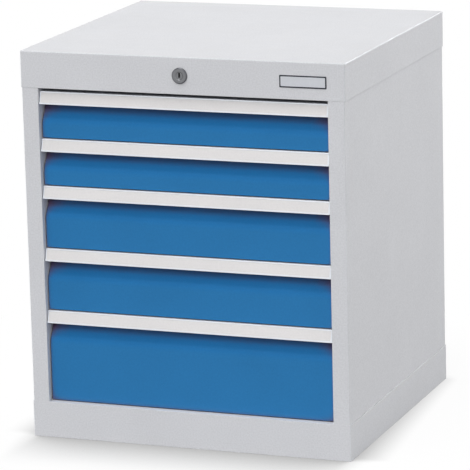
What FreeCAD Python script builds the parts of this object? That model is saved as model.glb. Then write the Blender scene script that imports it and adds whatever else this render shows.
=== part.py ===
"""Steel drawer cabinet with five drawers on roller slides and one central lock.

A housing of folded sheet stands on a plinth and carries slotted uprights.  The slides hook into
the uprights.  Each drawer is a folded tray with a blue pan front and a full-width handle strip.
The lock cylinder in the top cover turns a long shaft, whose crank lifts a slotted bar at the
back.  The raised bar stands in front of a hooked catch on the rear wall of every drawer.

Frame: +X to the right, -Y to the front, +Z up, origin on the floor under the middle.
All sizes are in millimetres.
"""
import FreeCAD, Part
import math
import os
from types import SimpleNamespace

import Sketcher
from FreeCAD import Vector

SIZES = {
    # Housing
    "housing_wide": 530,
    "housing_deep": 500,
    "plinth_high": 57.5,
    "skirt_high": 58,
    "head_gap": 6,
    "cover_sheet": 1.5,
    "panel_sheet": 1.2,
    "back_sheet": 1.0,
    "cover_bend": 2,
    "panel_bend": 1,
    "cover_return": 16,
    "plinth_flange": 25,
    "stile_wide": 28,
    "stile_deep": 25,
    "stile_setback": 0.3,
    "stile_lip": 10,
    "rear_flange": 20,
    "bead_wide": 18,
    "bead_deep": 4,
    "bead_pitch": 250,
    "bead_margin": 70,
    # Blind rivets that hold the back panel
    "rivet_hole": 4.2,
    "rivet_shank": 4,
    "rivet_head": 7,
    "rivet_bulb": 6,
    "rivet_head_high": 1.2,
    "rivet_margin": 40,
    # Front pitch of each drawer, counted from the top
    "pitch_1": 75,
    "pitch_2": 75,
    "pitch_3": 100,
    "pitch_4": 100,
    "pitch_5": 147.5,
    # Drawer fronts
    "front_recess": 10,
    "front_side_gap": 1.6,
    "front_gap": 1.5,
    "front_sheet": 1.2,
    "front_deep": 17.2,
    "front_return": 16,
    "front_lip": 14,
    "grip_recess": 14,
    "grip_drop": 28.5,
    "grip_level": 9,
    "grip_bend": 20,
    # Handle strips
    "strip_high": 19.4,
    "strip_lean": 5,
    "strip_setback": 1.7,
    "strip_side_gap": 1,
    "strip_wall": 1.6,
    "strip_lip": 5,
    "strip_leg": 8,
    "strip_ridge": 2,
    "strip_groove": 0.6,
    "clip_gap": 0.3,
    # Drawer trays
    "rear_room": 43.8,
    "tray_inset": 11.5,
    "tray_lift": 6,
    "tray_headroom": 12,
    "tray_sheet": 1.0,
    "tray_rim": 6,
    # Roller slides
    "slide_thick": 12.7,
    "slide_high": 35,
    "slide_sheet": 1.2,
    "slide_inset": 2.5,
    "slide_overlap_long": 90,
    "slide_rise": 24,
    "race_lip": 2.2,
    "outer_clear": 2.2,
    "inner_clear": 2.6,
    "roller_wide": 4.5,
    "roller_long": 4,
    "roller_clear": 0.05,
    "cage_sheet": 0.6,
    "cage_clear": 0.4,
    "cage_hole_clear": 0.1,
    "cage_end_gap": 2.5,
    # Uprights and the hooks that hang the slides on them
    "upright_wide": 30,
    "upright_foot": 10,
    "upright_rise": 20,
    "hook_inset": 18,
    "hook_thick": 2.4,
    "hook_high": 8,
    "hook_reach": 5,
    "hook_nose": 4,
    "hook_clear": 0.4,
    # Catch on each drawer and the lock bar behind it
    "catch_wide": 14,
    "catch_sheet": 2,
    "catch_reach": 34,
    "catch_lip": 8,
    "catch_drop": 8,
    "bar_thick": 3,
    "bar_wide": 32,
    "bar_play": 3,
    "bar_foot": 20,
    "bar_rise": 14,
    "window_side": 1.5,
    "window_below": 1.5,
    "window_above": 1,
    "guide_wide": 46,
    "guide_high": 15,
    "guide_wall": 4,
    "guide_clear": 0.4,
    "guide_rise": 10,
    # Lock
    "lock_rim_wide": 25,
    "lock_rim_high": 2.5,
    "lock_rim_bevel": 1,
    "lock_mouth_bevel": 0.9,
    "lock_body_wide": 18,
    "lock_body_long": 22,
    "lock_fit": 0.1,
    "plug_wide": 11,
    "plug_setback": 0.5,
    "plug_flange_wide": 14,
    "plug_flange_high": 1.7,
    "plug_end_gap": 0.3,
    "key_wide": 2,
    "key_high": 7,
    "key_deep": 9,
    "key_rise": 1,
    "tail_wide": 6,
    "tail_long": 8,
    "nut_across": 24,
    "nut_high": 5,
    "shaft_wide": 8,
    "shaft_hub_wide": 14,
    "shaft_hub_long": 12,
    "crank_throw": 6,
    "crank_pin_wide": 5,
    "crank_thick": 5,
    "crank_wide": 16,
    "crank_bar_gap": 4.5,
    "crank_pin_past": 2.5,
    "crank_slot_play": 0.6,
    "bracket_wide": 30,
    "bracket_foot": 20,
    "bracket_sheet": 2,
    "bracket_below": 12,
    "bracket_setback": 22,
}
DRAWER_COUNT = 5
RIVETS_PER_SIDE = 4
ROLLERS_PER_ROW = 3
BEADS = 2
ROUND_SIDES = 12  # Small round pieces that repeat are prisms with this many sides.
HIDDEN_SIDES = 8  # So are rivet holes and what stands in or behind them.
NUT_SIDES = 6
# The sign of each origin plane's normal along the axis that it is square to.
PLANE_NORMALS = {"XY": 1, "XZ": -1, "YZ": 1}
LEFT = -1
RIGHT = 1
SIDE_NAMES = {LEFT: "left", RIGHT: "right"}
CRANK_TURN = 90  # Degrees from unlocked to locked.
HALF_TURN_SIN = math.sin(math.radians(CRANK_TURN / 2))
TOUCH = 1e-4  # Lengths closer than this count as the same.


class Size:
    """A length that carries its spreadsheet formula and its present value."""

    def __init__(self, formula, number):
        self.formula = formula
        self.number = number

    def __add__(self, other):
        other = as_size(other)
        return Size(f"({self.formula} + {other.formula})", self.number + other.number)

    def __sub__(self, other):
        other = as_size(other)
        return Size(f"({self.formula} - {other.formula})", self.number - other.number)

    def __mul__(self, factor):
        factor = as_size(factor)
        return Size(f"{self.formula} * {factor.formula}", self.number * factor.number)

    def __truediv__(self, factor):
        factor = as_size(factor)
        return Size(f"{self.formula} / {factor.formula}", self.number / factor.number)

    def __neg__(self):
        return self * -1

    __rmul__ = __mul__


def as_size(value):
    """Turn a plain number into a Size, and leave a Size as it is."""
    if isinstance(value, Size):
        return value
    return Size(f"({float(value)})", float(value))


doc = FreeCAD.newDocument("DrawerCabinet")
sheet = doc.addObject("Spreadsheet::Sheet", "Sizes")
for row, (name, value) in enumerate(SIZES.items(), start=1):
    sheet.set(f"A{row}", name.replace("_", " "))
    sheet.set(f"B{row}", str(value))
    sheet.setAlias(f"B{row}", name)
doc.recompute()
S = SimpleNamespace(**{name: Size(f"Sizes.{name}", float(value)) for name, value in SIZES.items()})

# Planes and levels that several pieces share.
PITCHES = [getattr(S, f"pitch_{number}") for number in range(1, DRAWER_COUNT + 1)]
FLOORS = []  # The bottom of each drawer's front pitch, counted from the top drawer.
for number in range(DRAWER_COUNT):
    level = S.plinth_high
    for pitch in PITCHES[number + 1:]:
        level = level + pitch
    FLOORS.append(level)
OPENING_TOP = FLOORS[0] + PITCHES[0] + S.head_gap
HOUSING_TOP = OPENING_TOP + S.skirt_high
COVER_UNDERSIDE = HOUSING_TOP - S.cover_sheet
FACE_Y = S.housing_deep / -2
REAR_Y = S.housing_deep / 2
PANEL_X = S.housing_wide / 2 - S.cover_sheet
SKIRT_BACK_Y = FACE_Y + S.cover_sheet
STILE_FRONT_Y = FACE_Y + S.stile_setback
STILE_BACK_Y = STILE_FRONT_Y + S.stile_deep
PANEL_REAR_Y = REAR_Y - S.cover_sheet
WEB_X = PANEL_X - S.panel_sheet
STILE_X = S.housing_wide / 2 - S.stile_wide
BACK_OUTER_Y = PANEL_REAR_Y - S.panel_sheet
BACK_INNER_Y = BACK_OUTER_Y - S.back_sheet
RIVET_X = PANEL_X - S.rear_flange / 2
RIVET_Z = S.plinth_high + S.rivet_margin
RIVET_PITCH = (OPENING_TOP - S.rivet_margin - RIVET_Z) / (RIVETS_PER_SIDE - 1)
TRAY_X = STILE_X - S.tray_inset
UPRIGHT_X = TRAY_X + S.slide_thick
FRONT_Y = STILE_FRONT_Y + S.front_recess
TRAY_FRONT_Y = FRONT_Y + S.front_deep
TRAY_REAR_Y = BACK_INNER_Y - S.rear_room
SLIDE_Y = TRAY_FRONT_Y + S.slide_inset
SLIDE_LONG = TRAY_REAR_Y - TRAY_FRONT_Y - S.slide_inset * 2
SLIDE_TRAVEL = SLIDE_LONG - S.slide_overlap_long
UPRIGHT_YS = (SLIDE_Y + S.hook_inset, SLIDE_Y + SLIDE_LONG - S.hook_inset)
SLIDE_Z = S.tray_lift + S.slide_rise
INNER_HALF = S.slide_high / 2 - S.slide_sheet - S.roller_wide - S.roller_clear * 2
ROLLER_Z = INNER_HALF + S.roller_wide / 2 + S.roller_clear
CATCH_END_Y = TRAY_REAR_Y + S.catch_reach
BAR_BACK_Y = CATCH_END_Y - S.catch_sheet - S.bar_play
BAR_FRONT_Y = BAR_BACK_Y - S.bar_thick
CRANK_BACK_Y = BAR_FRONT_Y - S.crank_bar_gap
LOCK_Z = HOUSING_TOP - S.skirt_high / 2
PLUG_FLANGE_Y = FACE_Y + S.lock_body_long + S.plug_end_gap
PLUG_END_Y = PLUG_FLANGE_Y + S.plug_flange_high
parts = {}


def bind(thing, prop, size):
    """Tie a property to the formula of a size."""
    thing.setExpression(prop, as_size(size).formula)


def new_body(label, floor=None):
    """Start a sub-part, and stand it at the height of its drawer where one is given."""
    body = doc.addObject("PartDesign::Body", label)
    body.Label = label
    body.AllowCompound = True
    if floor is not None:
        bind(body, "Placement.Base.z", floor)
    return body


def keep(label, thing):
    """Name the finished sub-part that goes to parts/label.step."""
    parts[label] = thing
    return thing


def new_sketch(body, plane, at=0):
    """Attach a sketch to one of the body's own planes, moved to a place along its axis."""
    sketch = body.newObject("Sketcher::SketchObject", f"Sketch{plane}")
    support = next(f for f in body.Origin.OriginFeatures if f.Role == f"{plane}_Plane")
    sketch.AttachmentSupport = [(support, "")]
    sketch.MapMode = "FlatFace"
    bind(sketch, "AttachmentOffset.Base.z", as_size(at) * PLANE_NORMALS[plane])
    return sketch


def normal_of(sketch):
    """Give the sign of the sketch's normal along its own axis."""
    return PLANE_NORMALS[sketch.AttachmentSupport[0][0].Role[:2]]


def place_points(sketch, points):
    """Pin (geometry, vertex, x, y) points of a sketch to their sizes."""
    pins = []
    for geometry, vertex, x, y in points:
        pins.append(("DistanceX", geometry, vertex, as_size(x)))
        pins.append(("DistanceY", geometry, vertex, as_size(y)))
    made = [Sketcher.Constraint(kind, geo, vertex, size.number) for kind, geo, vertex, size in pins]
    for index, pin in zip(sketch.addConstraint(made), pins):
        bind(sketch, f"Constraints[{index}]", pin[-1])


def draw_outline(sketch, corners):
    """Draw a closed outline of straight lines through the corners."""
    corners = [(as_size(x), as_size(y)) for x, y in corners]
    first = sketch.GeometryCount
    following = corners[1:] + corners[:1]
    lines = []
    for (x0, y0), (x1, y1) in zip(corners, following):
        lines.append(Part.LineSegment(Vector(x0.number, y0.number, 0), Vector(x1.number, y1.number, 0)))
    sketch.addGeometry(lines)
    count = len(corners)
    joins = []
    for k in range(count):
        joins.append(Sketcher.Constraint("Coincident", first + k, 2, first + (k + 1) % count, 1))
    sketch.addConstraint(joins)
    place_points(sketch, [(first + k, 1, x, y) for k, (x, y) in enumerate(corners)])


def draw_rectangle(sketch, x0, y0, x1, y1):
    """Draw a rectangle between two opposite corners."""
    draw_outline(sketch, [(x0, y0), (x1, y0), (x1, y1), (x0, y1)])


def draw_circle(sketch, x, y, wide):
    """Draw a circle of the given diameter."""
    x, y, radius = as_size(x), as_size(y), as_size(wide) / 2
    circle = sketch.addGeometry(Part.Circle(Vector(x.number, y.number, 0), Vector(0, 0, 1), radius.number))
    place_points(sketch, [(circle, 3, x, y)])
    index = sketch.addConstraint(Sketcher.Constraint("Radius", circle, radius.number))
    bind(sketch, f"Constraints[{index}]", radius)


def draw_polygon(sketch, x, y, across_corners, sides):
    """Draw a regular polygon about a centre, with its first corner on the right."""
    radius = as_size(across_corners) / 2
    turns = [2 * math.pi * k / sides for k in range(sides)]
    x, y = as_size(x), as_size(y)
    draw_outline(sketch, [(x + radius * math.cos(turn), y + radius * math.sin(turn)) for turn in turns])


def pad(body, sketch, length, toward=1):
    """Add metal from the sketch along its axis, toward +1 or -1."""
    feature = body.newObject("PartDesign::Pad", "Pad")
    feature.Profile = sketch
    feature.Reversed = toward != normal_of(sketch)
    bind(feature, "Length", length)
    doc.recompute()
    return feature


def pocket(body, sketch, length, toward=1):
    """Cut away metal from the sketch along its axis, toward +1 or -1."""
    before = body.Shape.Volume
    feature = body.newObject("PartDesign::Pocket", "Pocket")
    feature.Profile = sketch
    feature.Reversed = toward == normal_of(sketch)
    bind(feature, "Length", length)
    doc.recompute()
    if body.Shape.Volume >= before:
        raise RuntimeError(f"{body.Label}: {feature.Label} cuts nothing")
    return feature


def repeat(body, features, rows):
    """Repeat features along one or two axes, each row being (axis, spacing, count)."""
    pattern = body.newObject("PartDesign::LinearPattern", "Pattern")
    pattern.Originals = features
    for (axis, spacing, count), suffix in zip(rows, ("", "2")):
        direction = next(f for f in body.Origin.OriginFeatures if f.Role == f"{axis}_Axis")
        setattr(pattern, f"Direction{suffix}", (direction, [""]))
        setattr(pattern, f"Occurrences{suffix}", count)
        bind(pattern, f"Length{suffix}", spacing * (count - 1))
    body.Tip = pattern
    doc.recompute()
    return pattern


def dress_edges(body, kind, chosen, prop, size):
    """Dress the edges of the body's tip for which chosen(edge) is true."""
    base = body.Tip
    names = [f"Edge{n}" for n, edge in enumerate(base.Shape.Edges, start=1) if chosen(edge)]
    if not names:
        raise RuntimeError(f"{body.Label}: no edge for a {kind}")
    feature = body.newObject(f"PartDesign::{kind}", kind)
    feature.Base = (base, names)
    bind(feature, prop, size)
    doc.recompute()
    return feature


def round_edges(body, chosen, radius):
    """Fillet the chosen edges."""
    return dress_edges(body, "Fillet", chosen, "Radius", radius)


def bevel_edges(body, chosen, size):
    """Chamfer the chosen edges."""
    return dress_edges(body, "Chamfer", chosen, "Size", size)


def runs_along(edge, axis):
    """Tell whether an edge is straight and lies along an axis given as 0, 1 or 2."""
    box = edge.BoundBox
    spans = (box.XLength, box.YLength, box.ZLength)
    return all((span > TOUCH) == (k == axis) for k, span in enumerate(spans))


def near(value, size):
    """Tell whether a coordinate lies at a size."""
    return abs(value - as_size(size).number) < TOUCH


def heading(start, end):
    """Give the sign of each coordinate's change along a square-cornered step."""
    change = (end[0].number - start[0].number, end[1].number - start[1].number)
    return tuple((c > TOUCH) - (c < -TOUCH) for c in change)


def folded(path, thick, turn):
    """Close a square-cornered path into a folded sheet's outline.

    The metal lies on the left of the path for turn 1 and on its right for turn -1.
    """
    path = [(as_size(x), as_size(y)) for x, y in path]
    steps = [heading(start, end) for start, end in zip(path, path[1:])]
    inner = []
    for k, (x, y) in enumerate(path):
        beside = {steps[max(k - 1, 0)], steps[min(k, len(steps) - 1)]}
        shift_x = turn * sum(-step_y for _, step_y in beside)
        shift_y = turn * sum(step_x for step_x, _ in beside)
        inner.append((x + thick * shift_x, y + thick * shift_y))
    return path + inner[::-1]


def build_top_cover():
    """Inverted tray with a deep skirt, a return along the front and the lock's hole."""
    body = new_body("top_cover")
    outer = new_sketch(body, "XY", OPENING_TOP)
    draw_rectangle(outer, -S.housing_wide / 2, FACE_Y, S.housing_wide / 2, REAR_Y)
    pad(body, outer, S.skirt_high)

    def outer_bend(edge):
        return runs_along(edge, 2) or near(edge.BoundBox.ZMin, HOUSING_TOP)

    round_edges(body, outer_bend, S.cover_bend)
    inside = new_sketch(body, "XY", OPENING_TOP)
    draw_rectangle(inside, -PANEL_X, SKIRT_BACK_Y, PANEL_X, PANEL_REAR_Y)
    pocket(body, inside, S.skirt_high - S.cover_sheet)
    front_return = new_sketch(body, "XY", OPENING_TOP)
    edge_x = STILE_X - S.clip_gap
    draw_rectangle(front_return, -edge_x, SKIRT_BACK_Y, edge_x, SKIRT_BACK_Y + S.cover_return)
    pad(body, front_return, S.cover_sheet)
    lock_hole = new_sketch(body, "XZ", FACE_Y)
    draw_circle(lock_hole, 0, LOCK_Z, S.lock_body_wide + S.lock_fit * 2)
    pocket(body, lock_hole, S.cover_sheet)
    return keep("top_cover", body)


def build_base_plinth():
    """Deck with skirts on four sides and a flange that lies on the floor."""
    body = new_body("base_plinth")
    outer = new_sketch(body, "XY")
    draw_rectangle(outer, -S.housing_wide / 2, FACE_Y, S.housing_wide / 2, REAR_Y)
    pad(body, outer, S.plinth_high)
    round_edges(body, lambda edge: runs_along(edge, 2), S.cover_bend)
    mouth = new_sketch(body, "XY")
    mouth_x = S.housing_wide / 2 - S.plinth_flange
    mouth_y = S.housing_deep / 2 - S.plinth_flange
    draw_rectangle(mouth, -mouth_x, -mouth_y, mouth_x, mouth_y)
    pocket(body, mouth, S.plinth_high - S.cover_sheet)
    hollow = new_sketch(body, "XY", S.cover_sheet)
    draw_rectangle(hollow, -PANEL_X, SKIRT_BACK_Y, PANEL_X, PANEL_REAR_Y)
    pocket(body, hollow, S.plinth_high - S.cover_sheet * 2)
    return keep("base_plinth", body)


def build_side_panel(side):
    """Side wall folded from one sheet, with the front stile and the rear flange.

    The stile stops under the cover's skirt, so that the two faces are level.
    """
    body = new_body(f"{SIDE_NAMES[side]}_side_panel")
    path = [
        ((STILE_X + S.stile_lip) * side, STILE_BACK_Y),
        (STILE_X * side, STILE_BACK_Y),
        (STILE_X * side, STILE_FRONT_Y),
        (PANEL_X * side, STILE_FRONT_Y),
        (PANEL_X * side, PANEL_REAR_Y),
        ((PANEL_X - S.rear_flange) * side, PANEL_REAR_Y),
    ]
    wall = new_sketch(body, "XY", S.plinth_high)
    draw_outline(wall, folded(path, S.panel_sheet, side))
    pad(body, wall, COVER_UNDERSIDE - S.plinth_high)

    def front_bend(edge):
        return runs_along(edge, 2) and near(edge.BoundBox.YMin, STILE_FRONT_Y)

    round_edges(body, front_bend, S.panel_bend)
    notch = new_sketch(body, "XY", COVER_UNDERSIDE)
    draw_outline(notch, [
        (STILE_X * side, STILE_FRONT_Y),
        (PANEL_X * side, STILE_FRONT_Y),
        (PANEL_X * side, SKIRT_BACK_Y),
        (WEB_X * side, SKIRT_BACK_Y),
        (WEB_X * side, STILE_BACK_Y),
        (STILE_X * side, STILE_BACK_Y),
    ])
    pocket(body, notch, COVER_UNDERSIDE - OPENING_TOP, toward=-1)
    hole = new_sketch(body, "XZ", BACK_OUTER_Y)
    draw_polygon(hole, RIVET_X * side, RIVET_Z, S.rivet_hole, HIDDEN_SIDES)
    first = pocket(body, hole, S.panel_sheet)
    repeat(body, [first], [("Z", RIVET_PITCH, RIVETS_PER_SIDE)])
    return keep(body.Label, body)


def build_back_panel():
    """Flat rear wall with two pressed beads, riveted inside the side panels' flanges."""
    body = new_body("back_panel")
    wall = new_sketch(body, "XY", S.plinth_high)
    edge_x = WEB_X - S.clip_gap
    draw_rectangle(wall, -edge_x, BACK_INNER_Y, edge_x, BACK_OUTER_Y)
    pad(body, wall, COVER_UNDERSIDE - S.plinth_high)
    bead_low = S.plinth_high + S.bead_margin
    bead_high = OPENING_TOP - S.bead_margin
    middle = S.bead_pitch / -2
    ridge_half = S.bead_wide / 2 + S.back_sheet
    ridge = new_sketch(body, "XZ", BACK_INNER_Y - S.bead_deep)
    draw_rectangle(ridge, middle - ridge_half, bead_low - S.back_sheet,
                   middle + ridge_half, bead_high + S.back_sheet)
    raised = pad(body, ridge, S.bead_deep + S.back_sheet)
    repeat(body, [raised], [("X", S.bead_pitch, BEADS)])
    groove = new_sketch(body, "XZ", BACK_OUTER_Y)
    draw_rectangle(groove, middle - S.bead_wide / 2, bead_low, middle + S.bead_wide / 2, bead_high)
    pressed = pocket(body, groove, S.bead_deep, toward=-1)
    repeat(body, [pressed], [("X", S.bead_pitch, BEADS)])
    hole = new_sketch(body, "XZ", BACK_INNER_Y)
    draw_polygon(hole, -RIVET_X, RIVET_Z, S.rivet_hole, HIDDEN_SIDES)
    first = pocket(body, hole, S.back_sheet)
    repeat(body, [first], [("X", RIVET_X * 2, 2), ("Z", RIVET_PITCH, RIVETS_PER_SIDE)])
    return keep("back_panel", body)


def build_back_panel_rivets():
    """Blind rivets through the rear flanges and the back panel, as one group."""
    body = new_body("back_panel_rivets")
    sections = [
        (PANEL_REAR_Y, S.rivet_head, ROUND_SIDES, S.rivet_head_high, 1),
        (PANEL_REAR_Y, S.rivet_shank, HIDDEN_SIDES, S.panel_sheet + S.back_sheet, -1),
        (BACK_INNER_Y, S.rivet_bulb, HIDDEN_SIDES, S.rivet_head_high, -1),
    ]
    pads = []
    for start_y, wide, sides, long, toward in sections:
        section = new_sketch(body, "XZ", start_y)
        draw_polygon(section, -RIVET_X, RIVET_Z, wide, sides)
        pads.append(pad(body, section, long, toward))
    repeat(body, pads, [("X", RIVET_X * 2, 2), ("Z", RIVET_PITCH, RIVETS_PER_SIDE)])
    return keep("back_panel_rivets", body)


def build_upright(side, end, middle_y):
    """Hat-shaped post welded to the side wall, with one slot for each slide's hook."""
    body = new_body(f"{SIDE_NAMES[side]}_{end}_upright")
    half = S.upright_wide / 2
    foot_x = WEB_X - S.panel_sheet
    path = [
        (foot_x * side, middle_y - half - S.upright_foot),
        (foot_x * side, middle_y - half),
        (UPRIGHT_X * side, middle_y - half),
        (UPRIGHT_X * side, middle_y + half),
        (foot_x * side, middle_y + half),
        (foot_x * side, middle_y + half + S.upright_foot),
    ]
    post = new_sketch(body, "XY", S.plinth_high)
    draw_outline(post, folded(path, S.panel_sheet, -side))
    pad(body, post, OPENING_TOP + S.upright_rise - S.plinth_high)
    slots = new_sketch(body, "YZ", UPRIGHT_X * side)
    slot_half = S.hook_thick / 2 + S.hook_clear
    for floor in FLOORS:
        middle_z = floor + SLIDE_Z
        low = middle_z - S.hook_high / 2 - S.hook_nose - S.hook_clear
        high = middle_z + S.hook_high / 2 + S.hook_clear
        draw_rectangle(slots, middle_y - slot_half, low, middle_y + slot_half, high)
    pocket(body, slots, S.panel_sheet, toward=side)
    return keep(body.Label, body)


def build_outer_rail(side, number):
    """C-shaped rail of a slide, hooked into the front and rear uprights."""
    body = new_body(f"{SIDE_NAMES[side]}_outer_rail_{number}", FLOORS[number - 1])
    half = S.slide_high / 2
    edge_x = (TRAY_X + S.outer_clear) * side
    path = [
        (edge_x, SLIDE_Z - half + S.race_lip),
        (edge_x, SLIDE_Z - half),
        (UPRIGHT_X * side, SLIDE_Z - half),
        (UPRIGHT_X * side, SLIDE_Z + half),
        (edge_x, SLIDE_Z + half),
        (edge_x, SLIDE_Z + half - S.race_lip),
    ]
    channel = new_sketch(body, "XZ", SLIDE_Y)
    draw_outline(channel, folded(path, S.slide_sheet, side))
    pad(body, channel, SLIDE_LONG)
    hook_tip = (UPRIGHT_X + S.hook_reach) * side
    nose_x = (UPRIGHT_X + S.panel_sheet + S.hook_clear) * side
    top = SLIDE_Z + S.hook_high / 2
    low = SLIDE_Z - S.hook_high / 2
    for middle_y in UPRIGHT_YS:
        hook = new_sketch(body, "XZ", middle_y - S.hook_thick / 2)
        root_x = (UPRIGHT_X - S.slide_sheet) * side
        draw_outline(hook, [(root_x, low), (nose_x, low), (nose_x, low - S.hook_nose),
                            (hook_tip, low - S.hook_nose), (hook_tip, top), (root_x, top)])
        pad(body, hook, S.hook_thick)
    return keep(body.Label, body)


def build_drawer_rail(side, number):
    """Narrow C-shaped rail of a slide, fixed to the side of the tray."""
    body = new_body(f"{SIDE_NAMES[side]}_drawer_rail_{number}", FLOORS[number - 1])
    edge_x = (UPRIGHT_X - S.inner_clear) * side
    path = [
        (edge_x, SLIDE_Z - INNER_HALF),
        (TRAY_X * side, SLIDE_Z - INNER_HALF),
        (TRAY_X * side, SLIDE_Z + INNER_HALF),
        (edge_x, SLIDE_Z + INNER_HALF),
    ]
    channel = new_sketch(body, "XZ", SLIDE_Y)
    draw_outline(channel, folded(path, S.slide_sheet, -side))
    pad(body, channel, SLIDE_LONG)
    return keep(body.Label, body)


def build_roller_cages(number):
    """Both roller cages of a drawer with their rollers, which run between the two rails."""
    floor = FLOORS[number - 1]
    cage_long = S.slide_overlap_long - S.cage_end_gap * 2
    cage_y = SLIDE_Y + SLIDE_TRAVEL / 2 + S.cage_end_gap
    roller_pitch = cage_long / ROLLERS_PER_ROW
    roller_x = (TRAY_X + S.outer_clear + S.slide_sheet + UPRIGHT_X - S.inner_clear) / 2
    leg_half = S.cage_sheet / 2
    window_x = S.roller_long / 2 + S.cage_hole_clear
    window_y = S.roller_wide / 2 + S.cage_hole_clear
    pieces = []
    for side in (LEFT, RIGHT):
        body = new_body(f"{SIDE_NAMES[side]}_cage_{number}", floor)
        back_x = (UPRIGHT_X - S.slide_sheet - S.cage_clear) * side
        tip_x = (roller_x - S.roller_long / 2 - S.cage_sheet * 2) * side
        path = [
            (tip_x, SLIDE_Z - ROLLER_Z - leg_half),
            (back_x, SLIDE_Z - ROLLER_Z - leg_half),
            (back_x, SLIDE_Z + ROLLER_Z + leg_half),
            (tip_x, SLIDE_Z + ROLLER_Z + leg_half),
        ]
        channel = new_sketch(body, "XZ", cage_y)
        draw_outline(channel, folded(path, S.cage_sheet, side))
        pad(body, channel, cage_long)
        window = new_sketch(body, "XY", SLIDE_Z - S.slide_high / 2)
        first_y = cage_y + roller_pitch / 2
        draw_rectangle(window, roller_x * side - window_x, first_y - window_y,
                       roller_x * side + window_x, first_y + window_y)
        first = pocket(body, window, S.slide_high)
        repeat(body, [first], [("Y", roller_pitch, ROLLERS_PER_ROW)])
        pieces.append(body)
        for row in (-1, 1):
            for place in range(ROLLERS_PER_ROW):
                roller = doc.addObject("Part::Prism", "Roller")
                roller.Polygon = ROUND_SIDES
                roller.Placement.Rotation = FreeCAD.Rotation(Vector(0, 1, 0), 90)
                bind(roller, "Circumradius", S.roller_wide / 2)
                bind(roller, "Height", S.roller_long)
                bind(roller, "Placement.Base.x", roller_x * side - S.roller_long / 2)
                bind(roller, "Placement.Base.y", first_y + roller_pitch * place)
                bind(roller, "Placement.Base.z", floor + SLIDE_Z + ROLLER_Z * row)
                pieces.append(roller)
    label = f"roller_cages_{number}"
    group = doc.addObject("Part::Compound", label)
    group.Label = label
    group.Links = pieces
    return keep(label, group)


def build_drawer_tray(number):
    """Folded tray with rims turned inwards, and the lock's hooked catch on its rear wall."""
    pitch = PITCHES[number - 1]
    body = new_body(f"drawer_tray_{number}", FLOORS[number - 1])
    high = pitch - S.tray_lift - S.tray_headroom
    top = S.tray_lift + high
    outer = new_sketch(body, "XY", S.tray_lift)
    draw_rectangle(outer, -TRAY_X, TRAY_FRONT_Y, TRAY_X, TRAY_REAR_Y)
    pad(body, outer, high)
    mouth = new_sketch(body, "XY", top)
    draw_rectangle(mouth, S.tray_rim - TRAY_X, TRAY_FRONT_Y + S.tray_rim,
                   TRAY_X - S.tray_rim, TRAY_REAR_Y - S.tray_rim)
    pocket(body, mouth, high - S.tray_sheet, toward=-1)
    hollow = new_sketch(body, "XY", top - S.tray_sheet)
    draw_rectangle(hollow, S.tray_sheet - TRAY_X, TRAY_FRONT_Y + S.tray_sheet,
                   TRAY_X - S.tray_sheet, TRAY_REAR_Y - S.tray_sheet)
    pocket(body, hollow, high - S.tray_sheet * 2, toward=-1)
    arm_top = top - S.catch_drop
    path = [
        (TRAY_REAR_Y - S.tray_sheet, arm_top),
        (CATCH_END_Y, arm_top),
        (CATCH_END_Y, arm_top - S.catch_sheet - S.catch_lip),
    ]
    catch = new_sketch(body, "YZ", S.catch_wide / -2)
    draw_outline(catch, folded(path, S.catch_sheet, -1))
    pad(body, catch, S.catch_wide)
    return keep(body.Label, body)


def build_drawer_front(number):
    """Blue pan that leans back under the handle strip to leave room for the fingers."""
    pitch = PITCHES[number - 1]
    body = new_body(f"drawer_front_{number}", FLOORS[number - 1])
    half = STILE_X - S.front_side_gap
    low = S.front_gap
    lip_z = pitch - S.strip_high
    bend_low = lip_z - S.grip_drop
    bend_high = lip_z - S.grip_level
    top = pitch - S.strip_wall - S.clip_gap
    grip_y = FRONT_Y + S.grip_recess
    thick = S.front_sheet
    face = [(FRONT_Y, low), (FRONT_Y, bend_low), (grip_y, bend_high), (grip_y, top)]
    back = [(y + thick, z) for y, z in face[1:]][::-1]
    pan_back = [
        (FRONT_Y + thick, low + thick),
        (TRAY_FRONT_Y - thick, low + thick),
        (TRAY_FRONT_Y - thick, low + S.front_lip),
        (TRAY_FRONT_Y, low + S.front_lip),
        (TRAY_FRONT_Y, low),
    ]

    def bends(setback):
        def chosen(edge):
            box = edge.BoundBox
            low_bend = near(box.YMin, FRONT_Y + setback) and near(box.ZMin, bend_low)
            high_bend = near(box.YMin, grip_y + setback) and near(box.ZMin, bend_high)
            return runs_along(edge, 0) and (low_bend or high_bend)

        return chosen

    skin = new_sketch(body, "YZ", -half)
    draw_outline(skin, face + back + pan_back)
    pad(body, skin, half * 2)
    round_edges(body, bends(thick), S.grip_bend)
    flange_top = pitch - S.strip_leg - S.clip_gap
    flange_outline = face[:-1] + [(grip_y, flange_top), (TRAY_FRONT_Y, flange_top), (TRAY_FRONT_Y, low)]
    for side in (LEFT, RIGHT):
        flange = new_sketch(body, "YZ", half * side)
        draw_outline(flange, flange_outline)
        pad(body, flange, thick, toward=-side)
        tab = new_sketch(body, "XY", low)
        draw_rectangle(tab, half * side, TRAY_FRONT_Y - thick,
                       (half - S.front_return) * side, TRAY_FRONT_Y)
        pad(body, tab, bend_low - low)

    round_edges(body, bends(as_size(0)), S.grip_bend)
    return keep(body.Label, body)


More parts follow.
